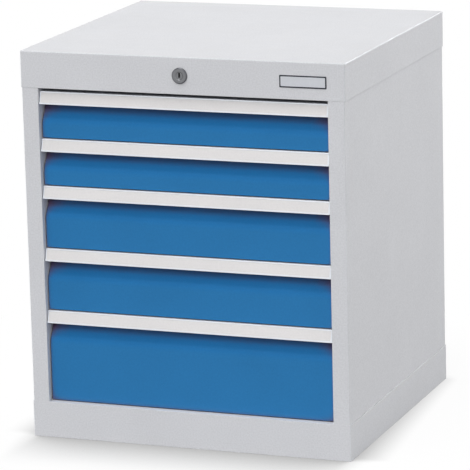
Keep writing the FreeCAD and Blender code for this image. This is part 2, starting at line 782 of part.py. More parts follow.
def build_handle_strip(number):
    """Extruded strip with a leaning face, a pull lip and a clip for the front's top edge."""
    pitch = PITCHES[number - 1]
    body = new_body(f"handle_strip_{number}", FLOORS[number - 1])
    wall = S.strip_wall
    lip_z = pitch - S.strip_high
    lip_y = STILE_FRONT_Y + S.strip_setback

    def face_y(rise):
        return lip_y + S.strip_lean * (rise / S.strip_high)

    def at(rise, setback=0):
        return (face_y(rise) + setback, lip_z + rise)

    zero = as_size(0)
    under_top = pitch - wall
    leg_low = pitch - S.strip_leg
    sheet_front = FRONT_Y + S.grip_recess - S.clip_gap
    sheet_back = FRONT_Y + S.grip_recess + S.front_sheet + S.clip_gap
    outline = [
        at(zero),
        at(S.strip_ridge),
        at(S.strip_ridge, S.strip_groove),
        at(S.strip_high - S.strip_ridge, S.strip_groove),
        at(S.strip_high - S.strip_ridge),
        at(S.strip_high),
        (sheet_back + wall, pitch),
        (sheet_back + wall, leg_low),
        (sheet_back, leg_low),
        (sheet_back, under_top),
        (sheet_front, under_top),
        (sheet_front, leg_low),
        (sheet_front - wall, leg_low),
        (sheet_front - wall, under_top),
        at(S.strip_high - wall, S.strip_groove + wall),
        at(wall, S.strip_groove + wall),
        (lip_y + S.strip_lip, lip_z + wall),
        (lip_y + S.strip_lip, lip_z),
    ]
    half = STILE_X - S.strip_side_gap
    profile = new_sketch(body, "YZ", -half)
    draw_outline(profile, outline)
    pad(body, profile, half * 2)
    return keep(body.Label, body)


def build_lock_barrel():
    """Threaded barrel with a proud rim, held in the cover's front skirt."""
    body = new_body("lock_barrel")
    rim = new_sketch(body, "XZ", FACE_Y)
    draw_circle(rim, 0, LOCK_Z, S.lock_rim_wide)
    pad(body, rim, S.lock_rim_high, toward=-1)
    front = FACE_Y - S.lock_rim_high
    bevel_edges(body, lambda edge: near(edge.BoundBox.YMax, front), S.lock_rim_bevel)
    shell = new_sketch(body, "XZ", FACE_Y)
    draw_circle(shell, 0, LOCK_Z, S.lock_body_wide)
    pad(body, shell, S.lock_body_long)
    bore_wide = S.plug_wide + S.lock_fit * 2
    bore = new_sketch(body, "XZ", front)
    draw_circle(bore, 0, LOCK_Z, bore_wide)
    pocket(body, bore, S.lock_rim_high + S.lock_body_long)

    def mouth(edge):
        return near(edge.BoundBox.YMax, front) and near(edge.BoundBox.XMax, bore_wide / 2)

    bevel_edges(body, mouth, S.lock_mouth_bevel)
    return keep("lock_barrel", body)


def build_lock_nut():
    """Hexagon nut that clamps the barrel behind the skirt."""
    body = new_body("lock_nut")
    blank = new_sketch(body, "XZ", SKIRT_BACK_Y)
    across_corners = S.nut_across / math.cos(math.pi / NUT_SIDES)
    draw_polygon(blank, 0, LOCK_Z, across_corners, NUT_SIDES)
    pad(body, blank, S.nut_high)
    bore = new_sketch(body, "XZ", SKIRT_BACK_Y)
    draw_circle(bore, 0, LOCK_Z, S.lock_body_wide + S.lock_fit * 2)
    pocket(body, bore, S.nut_high)
    return keep("lock_nut", body)


def build_lock_plug():
    """Turning plug with the key's slot in front and a square tail behind."""
    body = new_body("lock_plug")
    plug_face = FACE_Y - S.lock_rim_high + S.plug_setback
    core = new_sketch(body, "XZ", plug_face)
    draw_circle(core, 0, LOCK_Z, S.plug_wide)
    pad(body, core, PLUG_END_Y - plug_face)
    flange = new_sketch(body, "XZ", PLUG_FLANGE_Y)
    draw_circle(flange, 0, LOCK_Z, S.plug_flange_wide)
    pad(body, flange, S.plug_flange_high)
    key = new_sketch(body, "XZ", plug_face)
    key_z = LOCK_Z + S.key_rise
    draw_rectangle(key, S.key_wide / -2, key_z - S.key_high / 2, S.key_wide / 2, key_z + S.key_high / 2)
    pocket(body, key, S.key_deep)
    tail = new_sketch(body, "XZ", PLUG_END_Y)
    half = S.tail_wide / 2
    draw_rectangle(tail, -half, LOCK_Z - half, half, LOCK_Z + half)
    pad(body, tail, S.tail_long)
    return keep("lock_plug", body)


def build_lock_shaft():
    """Long shaft from the plug's tail to the crank at the back."""
    body = new_body("lock_shaft")
    hub = new_sketch(body, "XZ", PLUG_END_Y)
    draw_circle(hub, 0, LOCK_Z, S.shaft_hub_wide)
    pad(body, hub, S.shaft_hub_long)
    rod = new_sketch(body, "XZ", PLUG_END_Y + S.shaft_hub_long)
    draw_circle(rod, 0, LOCK_Z, S.shaft_wide)
    pad(body, rod, CRANK_BACK_Y - PLUG_END_Y - S.shaft_hub_long)
    socket = new_sketch(body, "XZ", PLUG_END_Y)
    half = S.tail_wide / 2 + S.lock_fit
    draw_rectangle(socket, -half, LOCK_Z - half, half, LOCK_Z + half)
    pocket(body, socket, S.tail_long + S.lock_fit)
    return keep("lock_shaft", body)


def build_lock_crank():
    """Crank on the shaft's end, whose pin lifts the lock bar."""
    body = new_body("lock_crank")
    start_y = CRANK_BACK_Y - S.crank_thick
    plate = new_sketch(body, "XZ", start_y)
    draw_circle(plate, 0, LOCK_Z, S.crank_wide + S.crank_throw)
    pad(body, plate, S.crank_thick)
    bore = new_sketch(body, "XZ", start_y)
    draw_circle(bore, 0, LOCK_Z, S.shaft_wide + S.lock_fit)
    pocket(body, bore, S.crank_thick)
    pin = new_sketch(body, "XZ", CRANK_BACK_Y)
    aside = S.crank_throw * HALF_TURN_SIN
    draw_circle(pin, -aside, LOCK_Z - aside, S.crank_pin_wide)
    pad(body, pin, S.crank_bar_gap + S.bar_thick + S.crank_pin_past)
    return keep("lock_crank", body)


def build_shaft_bracket():
    """Angle under the cover that carries the rear end of the shaft."""
    body = new_body("shaft_bracket")
    plate_y = CRANK_BACK_Y - S.bracket_setback
    path = [
        (plate_y - S.bracket_foot, COVER_UNDERSIDE),
        (plate_y, COVER_UNDERSIDE),
        (plate_y, LOCK_Z - S.bracket_below),
    ]
    angle = new_sketch(body, "YZ", S.bracket_wide / -2)
    draw_outline(angle, folded(path, S.bracket_sheet, -1))
    pad(body, angle, S.bracket_wide)
    bearing = new_sketch(body, "XZ", plate_y)
    draw_circle(bearing, 0, LOCK_Z, S.shaft_wide + S.lock_fit * 2)
    pocket(body, bearing, S.bracket_sheet, toward=-1)
    return keep("shaft_bracket", body)


def build_lock_bar():
    """Flat bar with a window for every catch and a cross slot for the crank's pin."""
    body = new_body("lock_bar")
    half = S.bar_wide / 2
    blank = new_sketch(body, "XZ", BAR_FRONT_Y)
    draw_rectangle(blank, -half, S.plinth_high + S.bar_foot, half, LOCK_Z + S.bar_rise)
    pad(body, blank, S.bar_thick)
    windows = new_sketch(body, "XZ", BAR_FRONT_Y)
    window_half = S.catch_wide / 2 + S.window_side
    for floor, pitch in zip(FLOORS, PITCHES):
        arm_top = floor + pitch - S.tray_headroom - S.catch_drop
        low = arm_top - S.catch_sheet - S.catch_lip - S.window_below
        draw_rectangle(windows, -window_half, low, window_half, arm_top + S.window_above)
    pocket(body, windows, S.bar_thick)
    slot = new_sketch(body, "XZ", BAR_FRONT_Y)
    reach = S.crank_pin_wide / 2 + S.crank_slot_play
    aside = S.crank_throw * HALF_TURN_SIN
    draw_rectangle(slot, -S.crank_throw - reach, LOCK_Z - aside - reach,
                   reach - aside, LOCK_Z - aside + reach)
    pocket(body, slot, S.bar_thick)
    return keep("lock_bar", body)


def build_bar_guides():
    """Two plastic blocks on the back panel in which the lock bar slides."""
    body = new_body("bar_guides")
    half = S.guide_wide / 2
    bar_half = S.bar_wide / 2 + S.guide_clear
    for floor in (FLOORS[0], FLOORS[DRAWER_COUNT - 2]):
        low = floor + S.guide_rise
        block = new_sketch(body, "XY", low)
        draw_rectangle(block, -half, BAR_FRONT_Y - S.guide_wall, half, BACK_INNER_Y)
        pad(body, block, S.guide_high)
        channel = new_sketch(body, "XY", low)
        draw_rectangle(channel, -bar_half, BAR_FRONT_Y - S.guide_clear,
                       bar_half, BAR_BACK_Y + S.guide_clear)
        pocket(body, channel, S.guide_high)
    return keep("bar_guides", body)


build_top_cover()
build_base_plinth()
build_back_panel()
build_back_panel_rivets()
for side in (LEFT, RIGHT):
    build_side_panel(side)
    for end, middle_y in zip(("front", "rear"), UPRIGHT_YS):
        build_upright(side, end, middle_y)
for number in range(1, DRAWER_COUNT + 1):
    for side in (LEFT, RIGHT):
        build_outer_rail(side, number)
        build_drawer_rail(side, number)
    build_roller_cages(number)
    build_drawer_tray(number)
    build_drawer_front(number)
    build_handle_strip(number)
build_lock_barrel()
build_lock_nut()
build_lock_plug()
build_lock_shaft()
build_lock_crank()
build_shaft_bracket()
build_lock_bar()
build_bar_guides()

doc.recompute()
for thing in doc.Objects:
    if {"Invalid", "Error"} & set(thing.State):
        raise RuntimeError(f"{thing.Label} failed to recompute: {thing.State}")
for label, thing in parts.items():
    if thing.Shape.isNull() or not thing.Shape.isValid():
        raise RuntimeError(f"{label} has no valid shape")

os.makedirs("parts", exist_ok=True)
for label, thing in parts.items():
    thing.Shape.exportStep(f"parts/{label}.step")
print(f"{len(parts)} sub-parts written")
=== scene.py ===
"""Looks of a steel drawer cabinet: powder-coated sheet, anodised pull strips and a central lock.

Every length is in metres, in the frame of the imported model: +X to the cabinet's right, -Y to its
front, +Z up, with the origin on the floor under the middle.
"""
import logging
import math
from dataclasses import dataclass, field
from enum import Enum
from typing import Iterable, Sequence

import bmesh
import bpy
from mathutils import Matrix, Vector


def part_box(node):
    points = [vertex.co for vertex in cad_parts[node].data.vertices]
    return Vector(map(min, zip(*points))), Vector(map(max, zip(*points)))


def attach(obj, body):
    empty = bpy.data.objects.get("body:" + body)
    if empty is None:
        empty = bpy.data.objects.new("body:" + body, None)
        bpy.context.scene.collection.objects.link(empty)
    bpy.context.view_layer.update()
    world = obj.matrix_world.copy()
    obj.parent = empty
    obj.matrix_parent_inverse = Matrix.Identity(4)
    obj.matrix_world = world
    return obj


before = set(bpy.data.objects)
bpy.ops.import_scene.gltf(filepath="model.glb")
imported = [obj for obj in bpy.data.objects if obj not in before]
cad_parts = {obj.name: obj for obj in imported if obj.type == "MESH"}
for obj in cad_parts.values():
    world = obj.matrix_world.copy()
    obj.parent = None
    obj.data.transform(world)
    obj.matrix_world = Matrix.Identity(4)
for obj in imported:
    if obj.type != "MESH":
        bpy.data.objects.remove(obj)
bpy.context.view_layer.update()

LOG = logging.getLogger("drawer_cabinet")
MM = 0.001
MERGE_DISTANCE = 0.001 * MM
EDGE_SEGMENTS = 2
CORNER_STEPS = 5
DRAWERS = range(1, 6)
SIDES = ("left", "right")
ENDS = ("front", "rear")
WHITE = (1.0, 1.0, 1.0)
# Nearly all of a noise's values lie between these two.
NOISE_LOW, NOISE_HIGH = 0.3, 0.7
# Numbers of the Mix node's colour sockets, because its other sockets have the same names.
MIX_FIRST, MIX_SECOND, MIX_RESULT = 6, 7, 2

Colour = tuple[float, float, float]
Point = tuple[float, float, float]
Node = bpy.types.Node
Socket = bpy.types.NodeSocket


class Side(Enum):
    """The two sides of the cabinet, by the sign of their X."""

    LEFT = -1
    RIGHT = 1


class Slot(Enum):
    """Material slots of the record; no piece in this script takes its finish from them."""

    STRIP = "strip_aluminium"
    LOCK = "lock_metal"
    RIVET = "rivet_aluminium"
    ZINC = "zinc_steel"


def srgb(red: int, green: int, blue: int) -> Colour:
    """Turn a screen colour of 0 to 255 into linear light.

    Args:
        red: Red level.
        green: Green level.
        blue: Blue level.

    Returns:
        The three linear values.
    """

    def linear(level: int) -> float:
        """Undo the screen's curve for one channel."""
        share = level / 255
        return share / 12.92 if share <= 0.04045 else ((share + 0.055) / 1.055) ** 2.4

    return linear(red), linear(green), linear(blue)


# ---- Node trees ----


@dataclass
class Tree:
    """A node tree with short calls for adding and joining nodes."""

    tree: bpy.types.NodeTree

    def add(self, kind: str, inputs: dict | None = None, **settings: object) -> Node:
        """Add a node.

        Args:
            kind: Blender's name of the node's type.
            inputs: Values or sockets for its inputs, by name or number.
            settings: Properties of the node itself.

        Returns:
            The new node.
        """
        node = self.tree.nodes.new(kind)
        for name, value in settings.items():
            setattr(node, name, value)
        for key, value in (inputs or {}).items():
            self.feed(node.inputs[key], value)
        return node

    def feed(self, socket: Socket, value: object) -> None:
        """Join a socket to another one, or give it a plain value.

        Args:
            socket: The input to feed.
            value: A socket, a number, a colour or a vector.
        """
        if isinstance(value, Socket):
            self.tree.links.new(value, socket)
        elif isinstance(value, tuple) and len(value) == 3 and socket.type == "RGBA":
            socket.default_value = (*value, 1.0)
        else:
            socket.default_value = value

    def maths(self, operation: str, *values: object, clamp: bool = False) -> Socket:
        """Add a Math node and give its result."""
        inputs = dict(enumerate(values))
        return self.add("ShaderNodeMath", inputs, operation=operation, use_clamp=clamp).outputs[0]

    def mix_colour(self, factor: object, first: object, second: object) -> Socket:
        """Mix two colours by a factor of 0 to 1."""
        inputs = {"Factor": factor, MIX_FIRST: first, MIX_SECOND: second}
        return self.add("ShaderNodeMix", inputs, data_type="RGBA").outputs[MIX_RESULT]

    def spread(self, value: object, low: float, high: float, to_low: float = 0.0,
               to_high: float = 1.0) -> Socket:
        """Map a range of values to another one, clamped at both ends."""
        inputs = {"Value": value, "From Min": low, "From Max": high,
                  "To Min": to_low, "To Max": to_high}
        return self.add("ShaderNodeMapRange", inputs, clamp=True).outputs[0]

    def noise(self, scale: object, detail: float, stretch: Point = (1.0, 1.0, 1.0)) -> Socket:
        """Noise on Object coordinates.

        Args:
            scale: How many of its cells lie in a metre.
            detail: How many finer layers it has.
            stretch: Share of the scale along each axis.

        Returns:
            Values from 0 to 1, most of them between NOISE_LOW and NOISE_HIGH.
        """
        place = self.add("ShaderNodeTexCoord").outputs["Object"]
        mapped = self.add("ShaderNodeMapping", {"Vector": place, "Scale": stretch}).outputs[0]
        inputs = {"Vector": mapped, "Scale": scale, "Detail": detail}
        return self.add("ShaderNodeTexNoise", inputs).outputs[0]

    def patches(self, scale: object, detail: float, low: float, high: float) -> Socket:
        """Noise whose values run from low to high."""
        return self.spread(self.noise(scale, detail), NOISE_LOW, NOISE_HIGH, low, high)

    def place(self) -> Node:
        """Node whose outputs X, Y and Z are the Object coordinates."""
        place = self.add("ShaderNodeTexCoord").outputs["Object"]
        return self.add("ShaderNodeSeparateXYZ", {0: place})

    def upwards(self) -> Socket:
        """How far the surface looks up: 1 where it is level, 0 where it is upright."""
        normal = self.add("ShaderNodeNewGeometry").outputs["Normal"]
        return self.add("ShaderNodeSeparateXYZ", {0: normal}).outputs["Z"]


class SharedEffect(Enum):
    """Shader groups that several finishes use."""

    MOTTLE = "paint_mottle"
    PEEL = "powder_peel"
    SHEEN = "rubbed_sheen"
    EDGE = "edge_wear"
    GRAIN = "drawn_grain"
    DUST = "settled_dust"
    TOOTH = "matt_tooth"


@dataclass
class EffectLibrary:
    """Builds each shared shader group once and hands it out.

    Each scale is the number of a noise's cells in a metre.
    """

    cloud_scale: float = 9.0
    speck_scale: float = 420.0
    fine_peel_scale: float = 1500.0
    wide_peel_scale: float = 320.0
    bevel_samples: int = 6
    wear_scale: float = 160.0
    wear_low: float = 0.35
    wear_high: float = 0.65
    wear_least: float = 0.5
    grain_scale: float = 900.0
    grain_stretch: Point = (0.012, 1.0, 1.0)
    blot_scale: float = 30.0
    dust_slope: float = 0.6
    dust_scale: float = 24.0
    dust_least: float = 0.3
    built: dict[SharedEffect, bpy.types.NodeTree] = field(default_factory=dict)

    def get(self, effect: SharedEffect) -> bpy.types.NodeTree:
        """Give the group of an effect, and build it at its first use.

        Args:
            effect: The effect.

        Returns:
            Its shader group.
        """
        if effect not in self.built:
            makers = {
                SharedEffect.MOTTLE: self.make_mottle,
                SharedEffect.PEEL: self.make_peel,
                SharedEffect.SHEEN: self.make_sheen,
                SharedEffect.EDGE: self.make_edge,
                SharedEffect.GRAIN: self.make_grain,
                SharedEffect.DUST: self.make_dust,
                SharedEffect.TOOTH: self.make_tooth,
            }
            makers[effect]()
        return self.built[effect]

    def start_group(self, effect: SharedEffect, inputs: dict[str, tuple[str, object]],
                    outputs: dict[str, str]) -> tuple[Tree, Node, Node]:
        """Start the group of an effect with its sockets and its two end nodes.

        Args:
            effect: The effect.
            inputs: Kind of socket and starting value of each input, by name.
            outputs: Kind of socket of each output, by name.

        Returns:
            The tree, its input node and its output node.
        """
        group = bpy.data.node_groups.new(effect.value, "ShaderNodeTree")
        kinds = {"value": "NodeSocketFloat", "colour": "NodeSocketColor",
                 "normal": "NodeSocketVector"}
        for name, (kind, start) in inputs.items():
            socket = group.interface.new_socket(name, in_out="INPUT", socket_type=kinds[kind])
            socket.default_value = (*start, 1.0) if kind == "colour" else start
        for name, kind in outputs.items():
            group.interface.new_socket(name, in_out="OUTPUT", socket_type=kinds[kind])
        self.built[effect] = group
        tree = Tree(group)
        return tree, tree.add("NodeGroupInput"), tree.add("NodeGroupOutput")

    def make_mottle(self) -> None:
        """Faint clouds and specks that vary a paint's colour."""
        inputs = {"Colour": ("colour", WHITE), "Clouds": ("value", 0.03),
                  "Specks": ("value", 0.02)}
        tree, given, out = self.start_group(SharedEffect.MOTTLE, inputs, {"Colour": "colour"})
        clouds = tree.patches(self.cloud_scale, detail=3.0, low=-1.0, high=1.0)
        specks = tree.patches(self.speck_scale, detail=1.0, low=-1.0, high=1.0)
        swing = tree.maths("ADD", tree.maths("MULTIPLY", clouds, given.outputs["Clouds"]),
                           tree.maths("MULTIPLY", specks, given.outputs["Specks"]))
        level = tree.maths("ADD", swing, 1.0)
        scaled = tree.add("ShaderNodeVectorMath", {0: given.outputs["Colour"], "Scale": level},
                          operation="SCALE")
        tree.feed(out.inputs["Colour"], scaled.outputs[0])

    def make_peel(self) -> None:
        """Height of the fine orange peel of a powder coat."""
        inputs = {"Fine": ("value", 0.6), "Wide": ("value", 0.4)}
        tree, given, out = self.start_group(SharedEffect.PEEL, inputs, {"Height": "value"})
        fine = tree.noise(self.fine_peel_scale, detail=2.0)
        wide = tree.noise(self.wide_peel_scale, detail=2.0)
        both = tree.maths("ADD", tree.maths("MULTIPLY", fine, given.outputs["Fine"]),
                          tree.maths("MULTIPLY", wide, given.outputs["Wide"]))
        tree.feed(out.inputs["Height"], both)

    def make_sheen(self) -> None:
        """Mask of the patches of a coat that are a little less smooth than the rest."""
        tree, given, out = self.start_group(SharedEffect.SHEEN, {"Scale": ("value", 60.0)},
                                            {"Mask": "value"})
        mask = tree.patches(given.outputs["Scale"], detail=2.0, low=0.0, high=1.0)
        tree.feed(out.inputs["Mask"], mask)

    def make_edge(self) -> None:
        """Rounded normal at the edges, and a mask that is 1 where the coat is thin."""
        inputs = {"Radius": ("value", 0.8 * MM), "Gain": ("value", 1.0)}
        tree, given, out = self.start_group(SharedEffect.EDGE, inputs,
                                            {"Mask": "value", "Normal": "normal"})
        bevel = tree.add("ShaderNodeBevel", {"Radius": given.outputs["Radius"]},
                         samples=self.bevel_samples)
        flat = tree.add("ShaderNodeNewGeometry").outputs["Normal"]
        dot = tree.add("ShaderNodeVectorMath", {0: bevel.outputs[0], 1: flat},
                       operation="DOT_PRODUCT")
        bend = tree.maths("SUBTRACT", 1.0, dot.outputs["Value"], clamp=True)
        broken = tree.spread(tree.noise(self.wear_scale, detail=3.0), self.wear_low,
                             self.wear_high, self.wear_least, 1.0)
        gained = tree.maths("MULTIPLY", bend, given.outputs["Gain"])
        tree.feed(out.inputs["Mask"], tree.maths("MULTIPLY", gained, broken, clamp=True))
        tree.feed(out.inputs["Normal"], bevel.outputs[0])

    def make_grain(self) -> None:
        """Height and mask of the fine lines of drawn or extruded metal, which run along X."""
        tree, given, out = self.start_group(SharedEffect.GRAIN, {"Blots": ("value", 0.35)},
                                            {"Height": "value", "Mask": "value"})
        lines = tree.noise(self.grain_scale, detail=3.0, stretch=self.grain_stretch)
        blots = tree.noise(self.blot_scale, detail=2.0)
        rest = tree.maths("SUBTRACT", 1.0, given.outputs["Blots"])
        both = tree.maths("ADD", tree.maths("MULTIPLY", lines, rest),
                          tree.maths("MULTIPLY", blots, given.outputs["Blots"]))
        tree.feed(out.inputs["Height"], lines)
        tree.feed(out.inputs["Mask"], tree.spread(both, NOISE_LOW, NOISE_HIGH))

    def make_dust(self) -> None:
        """Mask of the dust that lies on faces that look up."""
        tree, given, out = self.start_group(SharedEffect.DUST, {"Amount": ("value", 0.1)},
                                            {"Mask": "value"})
        lying = tree.spread(tree.upwards(), self.dust_slope, 1.0)
        patchy = tree.patches(self.dust_scale, detail=4.0, low=self.dust_least, high=1.0)
        mask = tree.maths("MULTIPLY", tree.maths("MULTIPLY", lying, patchy),
                          given.outputs["Amount"])
        tree.feed(out.inputs["Mask"], mask)

    def make_tooth(self) -> None:
        """Height of the faint tooth of card, foil and moulded plastic."""
        tree, given, out = self.start_group(SharedEffect.TOOTH, {"Scale": ("value", 900.0)},
                                            {"Height": "value"})
        tree.feed(out.inputs["Height"], tree.noise(given.outputs["Scale"], detail=3.0))


EFFECTS = EffectLibrary()


def place_effect(tree: Tree, effect: SharedEffect, values: dict) -> Node:
    """Place a shared effect in a material with its own values."""
    return tree.add("ShaderNodeGroup", values, node_tree=EFFECTS.get(effect))


# ---- Finishes ----


def new_material(name: str) -> tuple[bpy.types.Material, Tree, Node]:
    """Start a node material.

    Args:
        name: The material's name.

    Returns:
        The material, its tree and its Principled shader.
    """
    material = bpy.data.materials.new(name)
    material.use_nodes = True
    tree = Tree(material.node_tree)
    shader = next(n for n in material.node_tree.nodes if n.type == "BSDF_PRINCIPLED")
    return material, tree, shader


def raise_surface(tree: Tree, shader: Node, height: Socket, strength: float, distance: float,
                  normal: Socket | None = None) -> None:
    """Give a shader the fine relief of its surface.

    Args:
        tree: The material's tree.
        shader: Its Principled shader.
        height: The relief, from 0 to 1.
        strength: How strongly the relief shows.
        distance: Its real height.
        normal: The normal that it stands on, where that isn't the surface's own.
    """
    inputs = {"Height": height, "Strength": strength, "Distance": distance}
    if normal is not None:
        inputs["Normal"] = normal
    tree.feed(shader.inputs["Normal"], tree.add("ShaderNodeBump", inputs).outputs[0])


@dataclass(frozen=True)
class PowderCoat:
    """Satin powder coat on sheet steel, with a fine peel and thin edges.

    Where the sheet leans back and faces up, its colour goes over by the lean share to the lean
    colour, a painted shade; corners and recesses are painted darker and browner from their
    occlusion, by the amount of corner shade: painted shade too.
    """

    name: str
    colour: Colour
    edge_colour: Colour
    roughness: float = 0.5
    gloss: float = 0.3
    clouds: float = 0.02
    specks: float = 0.03
    sheen_scale: float = 60.0
    sheen_swing: float = 0.04
    peel_fine: float = 0.6
    peel_wide: float = 0.4
    peel_depth: float = 0.05
    peel_height: float = 0.2 * MM
    edge_radius: float = 0.9 * MM
    edge_gain: float = 1.4
    dust: float = 0.0
    dust_colour: Colour = srgb(214, 212, 208)
    # Painted shade: where the sheet leans back and faces up, so that more light falls on it, the
    # colour goes deeper.
    lean_shade_share: float = 0.0
    lean_shade_colour: Colour = (0.0, 0.0, 0.0)
    lean_shade_start: float = 0.02
    lean_shade_full: float = 0.35
    # Painted shade: occluded corners and recesses go over to a dark brown.
    corner_shade: float = 0.0
    corner_shade_colour: Colour = srgb(98, 46, 38)
    corner_shade_reach: float = 34 * MM
    corner_shade_deep: float = 0.3
    corner_shade_open: float = 0.75
    corner_shade_samples: int = 12
    corner_shade_scale: float = 60.0
    corner_shade_least: float = 0.85

    def build(self) -> bpy.types.Material:
        """Build the material.

        Returns:
            The material.
        """
        material, tree, shader = new_material(self.name)
        # Painted shade, where the finish has lean or corner shade.
        colour = self.shaded_colour(tree) if self.lean_shade_share or self.corner_shade else self.colour
        mottle = place_effect(tree, SharedEffect.MOTTLE,
                              {"Colour": colour, "Clouds": self.clouds, "Specks": self.specks})
        edge = place_effect(tree, SharedEffect.EDGE,
                            {"Radius": self.edge_radius, "Gain": self.edge_gain})
        dust = place_effect(tree, SharedEffect.DUST, {"Amount": self.dust})
        worn = tree.mix_colour(edge.outputs["Mask"], mottle.outputs["Colour"], self.edge_colour)
        dusty = tree.mix_colour(dust.outputs["Mask"], worn, self.dust_colour)
        tree.feed(shader.inputs["Base Color"], dusty)
        sheen = place_effect(tree, SharedEffect.SHEEN, {"Scale": self.sheen_scale})
        rough = tree.spread(sheen.outputs["Mask"], 0.0, 1.0, self.roughness - self.sheen_swing,
                            self.roughness + self.sheen_swing)
        tree.feed(shader.inputs["Roughness"], rough)
        shader.inputs["Specular IOR Level"].default_value = self.gloss
        peel = place_effect(tree, SharedEffect.PEEL,
                            {"Fine": self.peel_fine, "Wide": self.peel_wide})
        raise_surface(tree, shader, peel.outputs["Height"], self.peel_depth, self.peel_height,
                      edge.outputs["Normal"])
        return material

    def shaded_colour(self, tree: Tree) -> Socket:
        """The coat's colour with painted shade where the sheet leans back and in its occluded
        corners.

        Args:
            tree: The material's tree.

        Returns:
            The colour.
        """
        # Painted shade on the faces that lean back and catch more light.
        lean_shade = tree.spread(tree.upwards(), self.lean_shade_start, self.lean_shade_full, 0.0,
                              self.lean_shade_share)
        coat = tree.mix_colour(lean_shade, self.colour, self.lean_shade_colour)
        # Painted shade: the colour darkens towards brown where the occlusion is deep.
        corner = tree.add("ShaderNodeAmbientOcclusion", {"Distance": self.corner_shade_reach},
                          samples=self.corner_shade_samples)
        deep = tree.spread(corner.outputs["AO"], self.corner_shade_deep, self.corner_shade_open, self.corner_shade, 0.0)
        patchy = tree.patches(self.corner_shade_scale, detail=3.0, low=self.corner_shade_least, high=1.0)
        return tree.mix_colour(tree.maths("MULTIPLY", deep, patchy), coat, self.corner_shade_colour)


@dataclass(frozen=True)
class BareMetal:
    """Extruded, drawn or plated metal with a fine grain along X."""

    name: str
    colour: Colour
    stain: Colour
    roughness: float = 0.35
    rough_down: float = 0.05
    rough_up: float = 0.07
    metallic: float = 1.0
    grain_depth: float = 0.1
    grain_height: float = 0.1 * MM
    blot_share: float = 0.35
    stain_share: float = 0.3
    edge_radius: float = 0.4 * MM
    edge_gain: float = 1.0

    def build(self) -> bpy.types.Material:
        """Build the material.

        Returns:
            The material.
        """
        material, tree, shader = new_material(self.name)
        grain = place_effect(tree, SharedEffect.GRAIN, {"Blots": self.blot_share})
        edge = place_effect(tree, SharedEffect.EDGE,
                            {"Radius": self.edge_radius, "Gain": self.edge_gain})
        share = tree.maths("MULTIPLY", grain.outputs["Mask"], self.stain_share)
        tree.feed(shader.inputs["Base Color"], tree.mix_colour(share, self.colour, self.stain))
        rough = tree.spread(grain.outputs["Mask"], 0.0, 1.0, self.roughness - self.rough_down,
                            self.roughness + self.rough_up)
        tree.feed(shader.inputs["Roughness"], rough)
        shader.inputs["Metallic"].default_value = self.metallic
        raise_surface(tree, shader, grain.outputs["Height"], self.grain_depth,
                      self.grain_height, edge.outputs["Normal"])
        return material


@dataclass(frozen=True)
class TurnedMetal:
    """Die-cast and plated metal with rings of turning marks about an axis along Y."""

    name: str
    colour: Colour
    # Painted shade: the outer band over the bevelled rim is painted darker.
    rim_shade_colour: Colour
    axis_x: float
    axis_z: float
    rim_inside: float = 10.2 * MM
    rim_outside: float = 11.4 * MM
    key_half_wide: float = 1.4 * MM
    key_half_high: float = 3.9 * MM
    key_rise: float = 1.0 * MM
    key_blur: float = 0.5 * MM
    # Painted shade: the key's slot is painted near black.
    keyway_shade_colour: Colour = srgb(14, 14, 15)
    roughness: float = 0.34
    rough_down: float = 0.06
    rough_up: float = 0.08
    ring_scale: float = 5200.0
    ring_share: float = 0.5
    scratch_scale: float = 700.0
    relief: float = 0.12
    relief_height: float = 0.05 * MM
    edge_radius: float = 0.4 * MM
    edge_gain: float = 1.5
    edge_lift: float = 1.8

    def build(self) -> bpy.types.Material:
        """Build the material.

        Returns:
            The material.
        """
        material, tree, shader = new_material(self.name)
        place = tree.add("ShaderNodeTexCoord").outputs["Object"]
        middle = {"Vector": place, "Location": (-self.axis_x, 0.0, -self.axis_z),
                  "Scale": (1.0, 0.0, 1.0)}
        centred = tree.add("ShaderNodeMapping", middle).outputs[0]
        length = tree.add("ShaderNodeVectorMath", {0: centred}, operation="LENGTH")
        radius = length.outputs["Value"]
        rings = tree.maths("SINE", tree.maths("MULTIPLY", radius, self.ring_scale))
        scratch = tree.noise(self.scratch_scale, detail=3.0)
        height = tree.maths("ADD", tree.maths("MULTIPLY", rings, self.ring_share), scratch)
        edge = place_effect(tree, SharedEffect.EDGE,
                            {"Radius": self.edge_radius, "Gain": self.edge_gain})
        raise_surface(tree, shader, height, self.relief, self.relief_height,
                      edge.outputs["Normal"])
        # Painted shade on the bevelled rim, darker beyond the inner radius.
        rim = tree.spread(radius, self.rim_inside, self.rim_outside)
        zoned = tree.mix_colour(rim, self.colour, self.rim_shade_colour)
        lighter = tuple(min(1.0, level * self.edge_lift) for level in self.colour)
        worn = tree.mix_colour(edge.outputs["Mask"], zoned, lighter)
        # Painted shade: the key's slot goes near black.
        slot_shaded = tree.mix_colour(self.keyway(tree, centred), worn, self.keyway_shade_colour)
        tree.feed(shader.inputs["Base Color"], slot_shaded)
        rough = tree.spread(scratch, NOISE_LOW, NOISE_HIGH, self.roughness - self.rough_down,
                            self.roughness + self.rough_up)
        tree.feed(shader.inputs["Roughness"], rough)
        shader.inputs["Metallic"].default_value = 1.0
        return material

    def keyway(self, tree: Tree, centred: Socket) -> Socket:
        """Mask of the key's slot, which is painted near black as painted shade, with a soft edge
        round it.

        Args:
            tree: The material's tree.
            centred: Object coordinates from the lock's axis.

        Returns:
            1 in the slot and 0 outside it.
        """
        parts = tree.add("ShaderNodeSeparateXYZ", {0: centred})
        aside = tree.maths("ABSOLUTE", parts.outputs["X"])
        over = tree.maths("ABSOLUTE", tree.maths("SUBTRACT", parts.outputs["Z"], self.key_rise))
        across, along = (
            tree.spread(value, half - self.key_blur, half + self.key_blur, 1.0, 0.0)
            for value, half in ((aside, self.key_half_wide), (over, self.key_half_high)))
        return tree.maths("MULTIPLY", across, along)


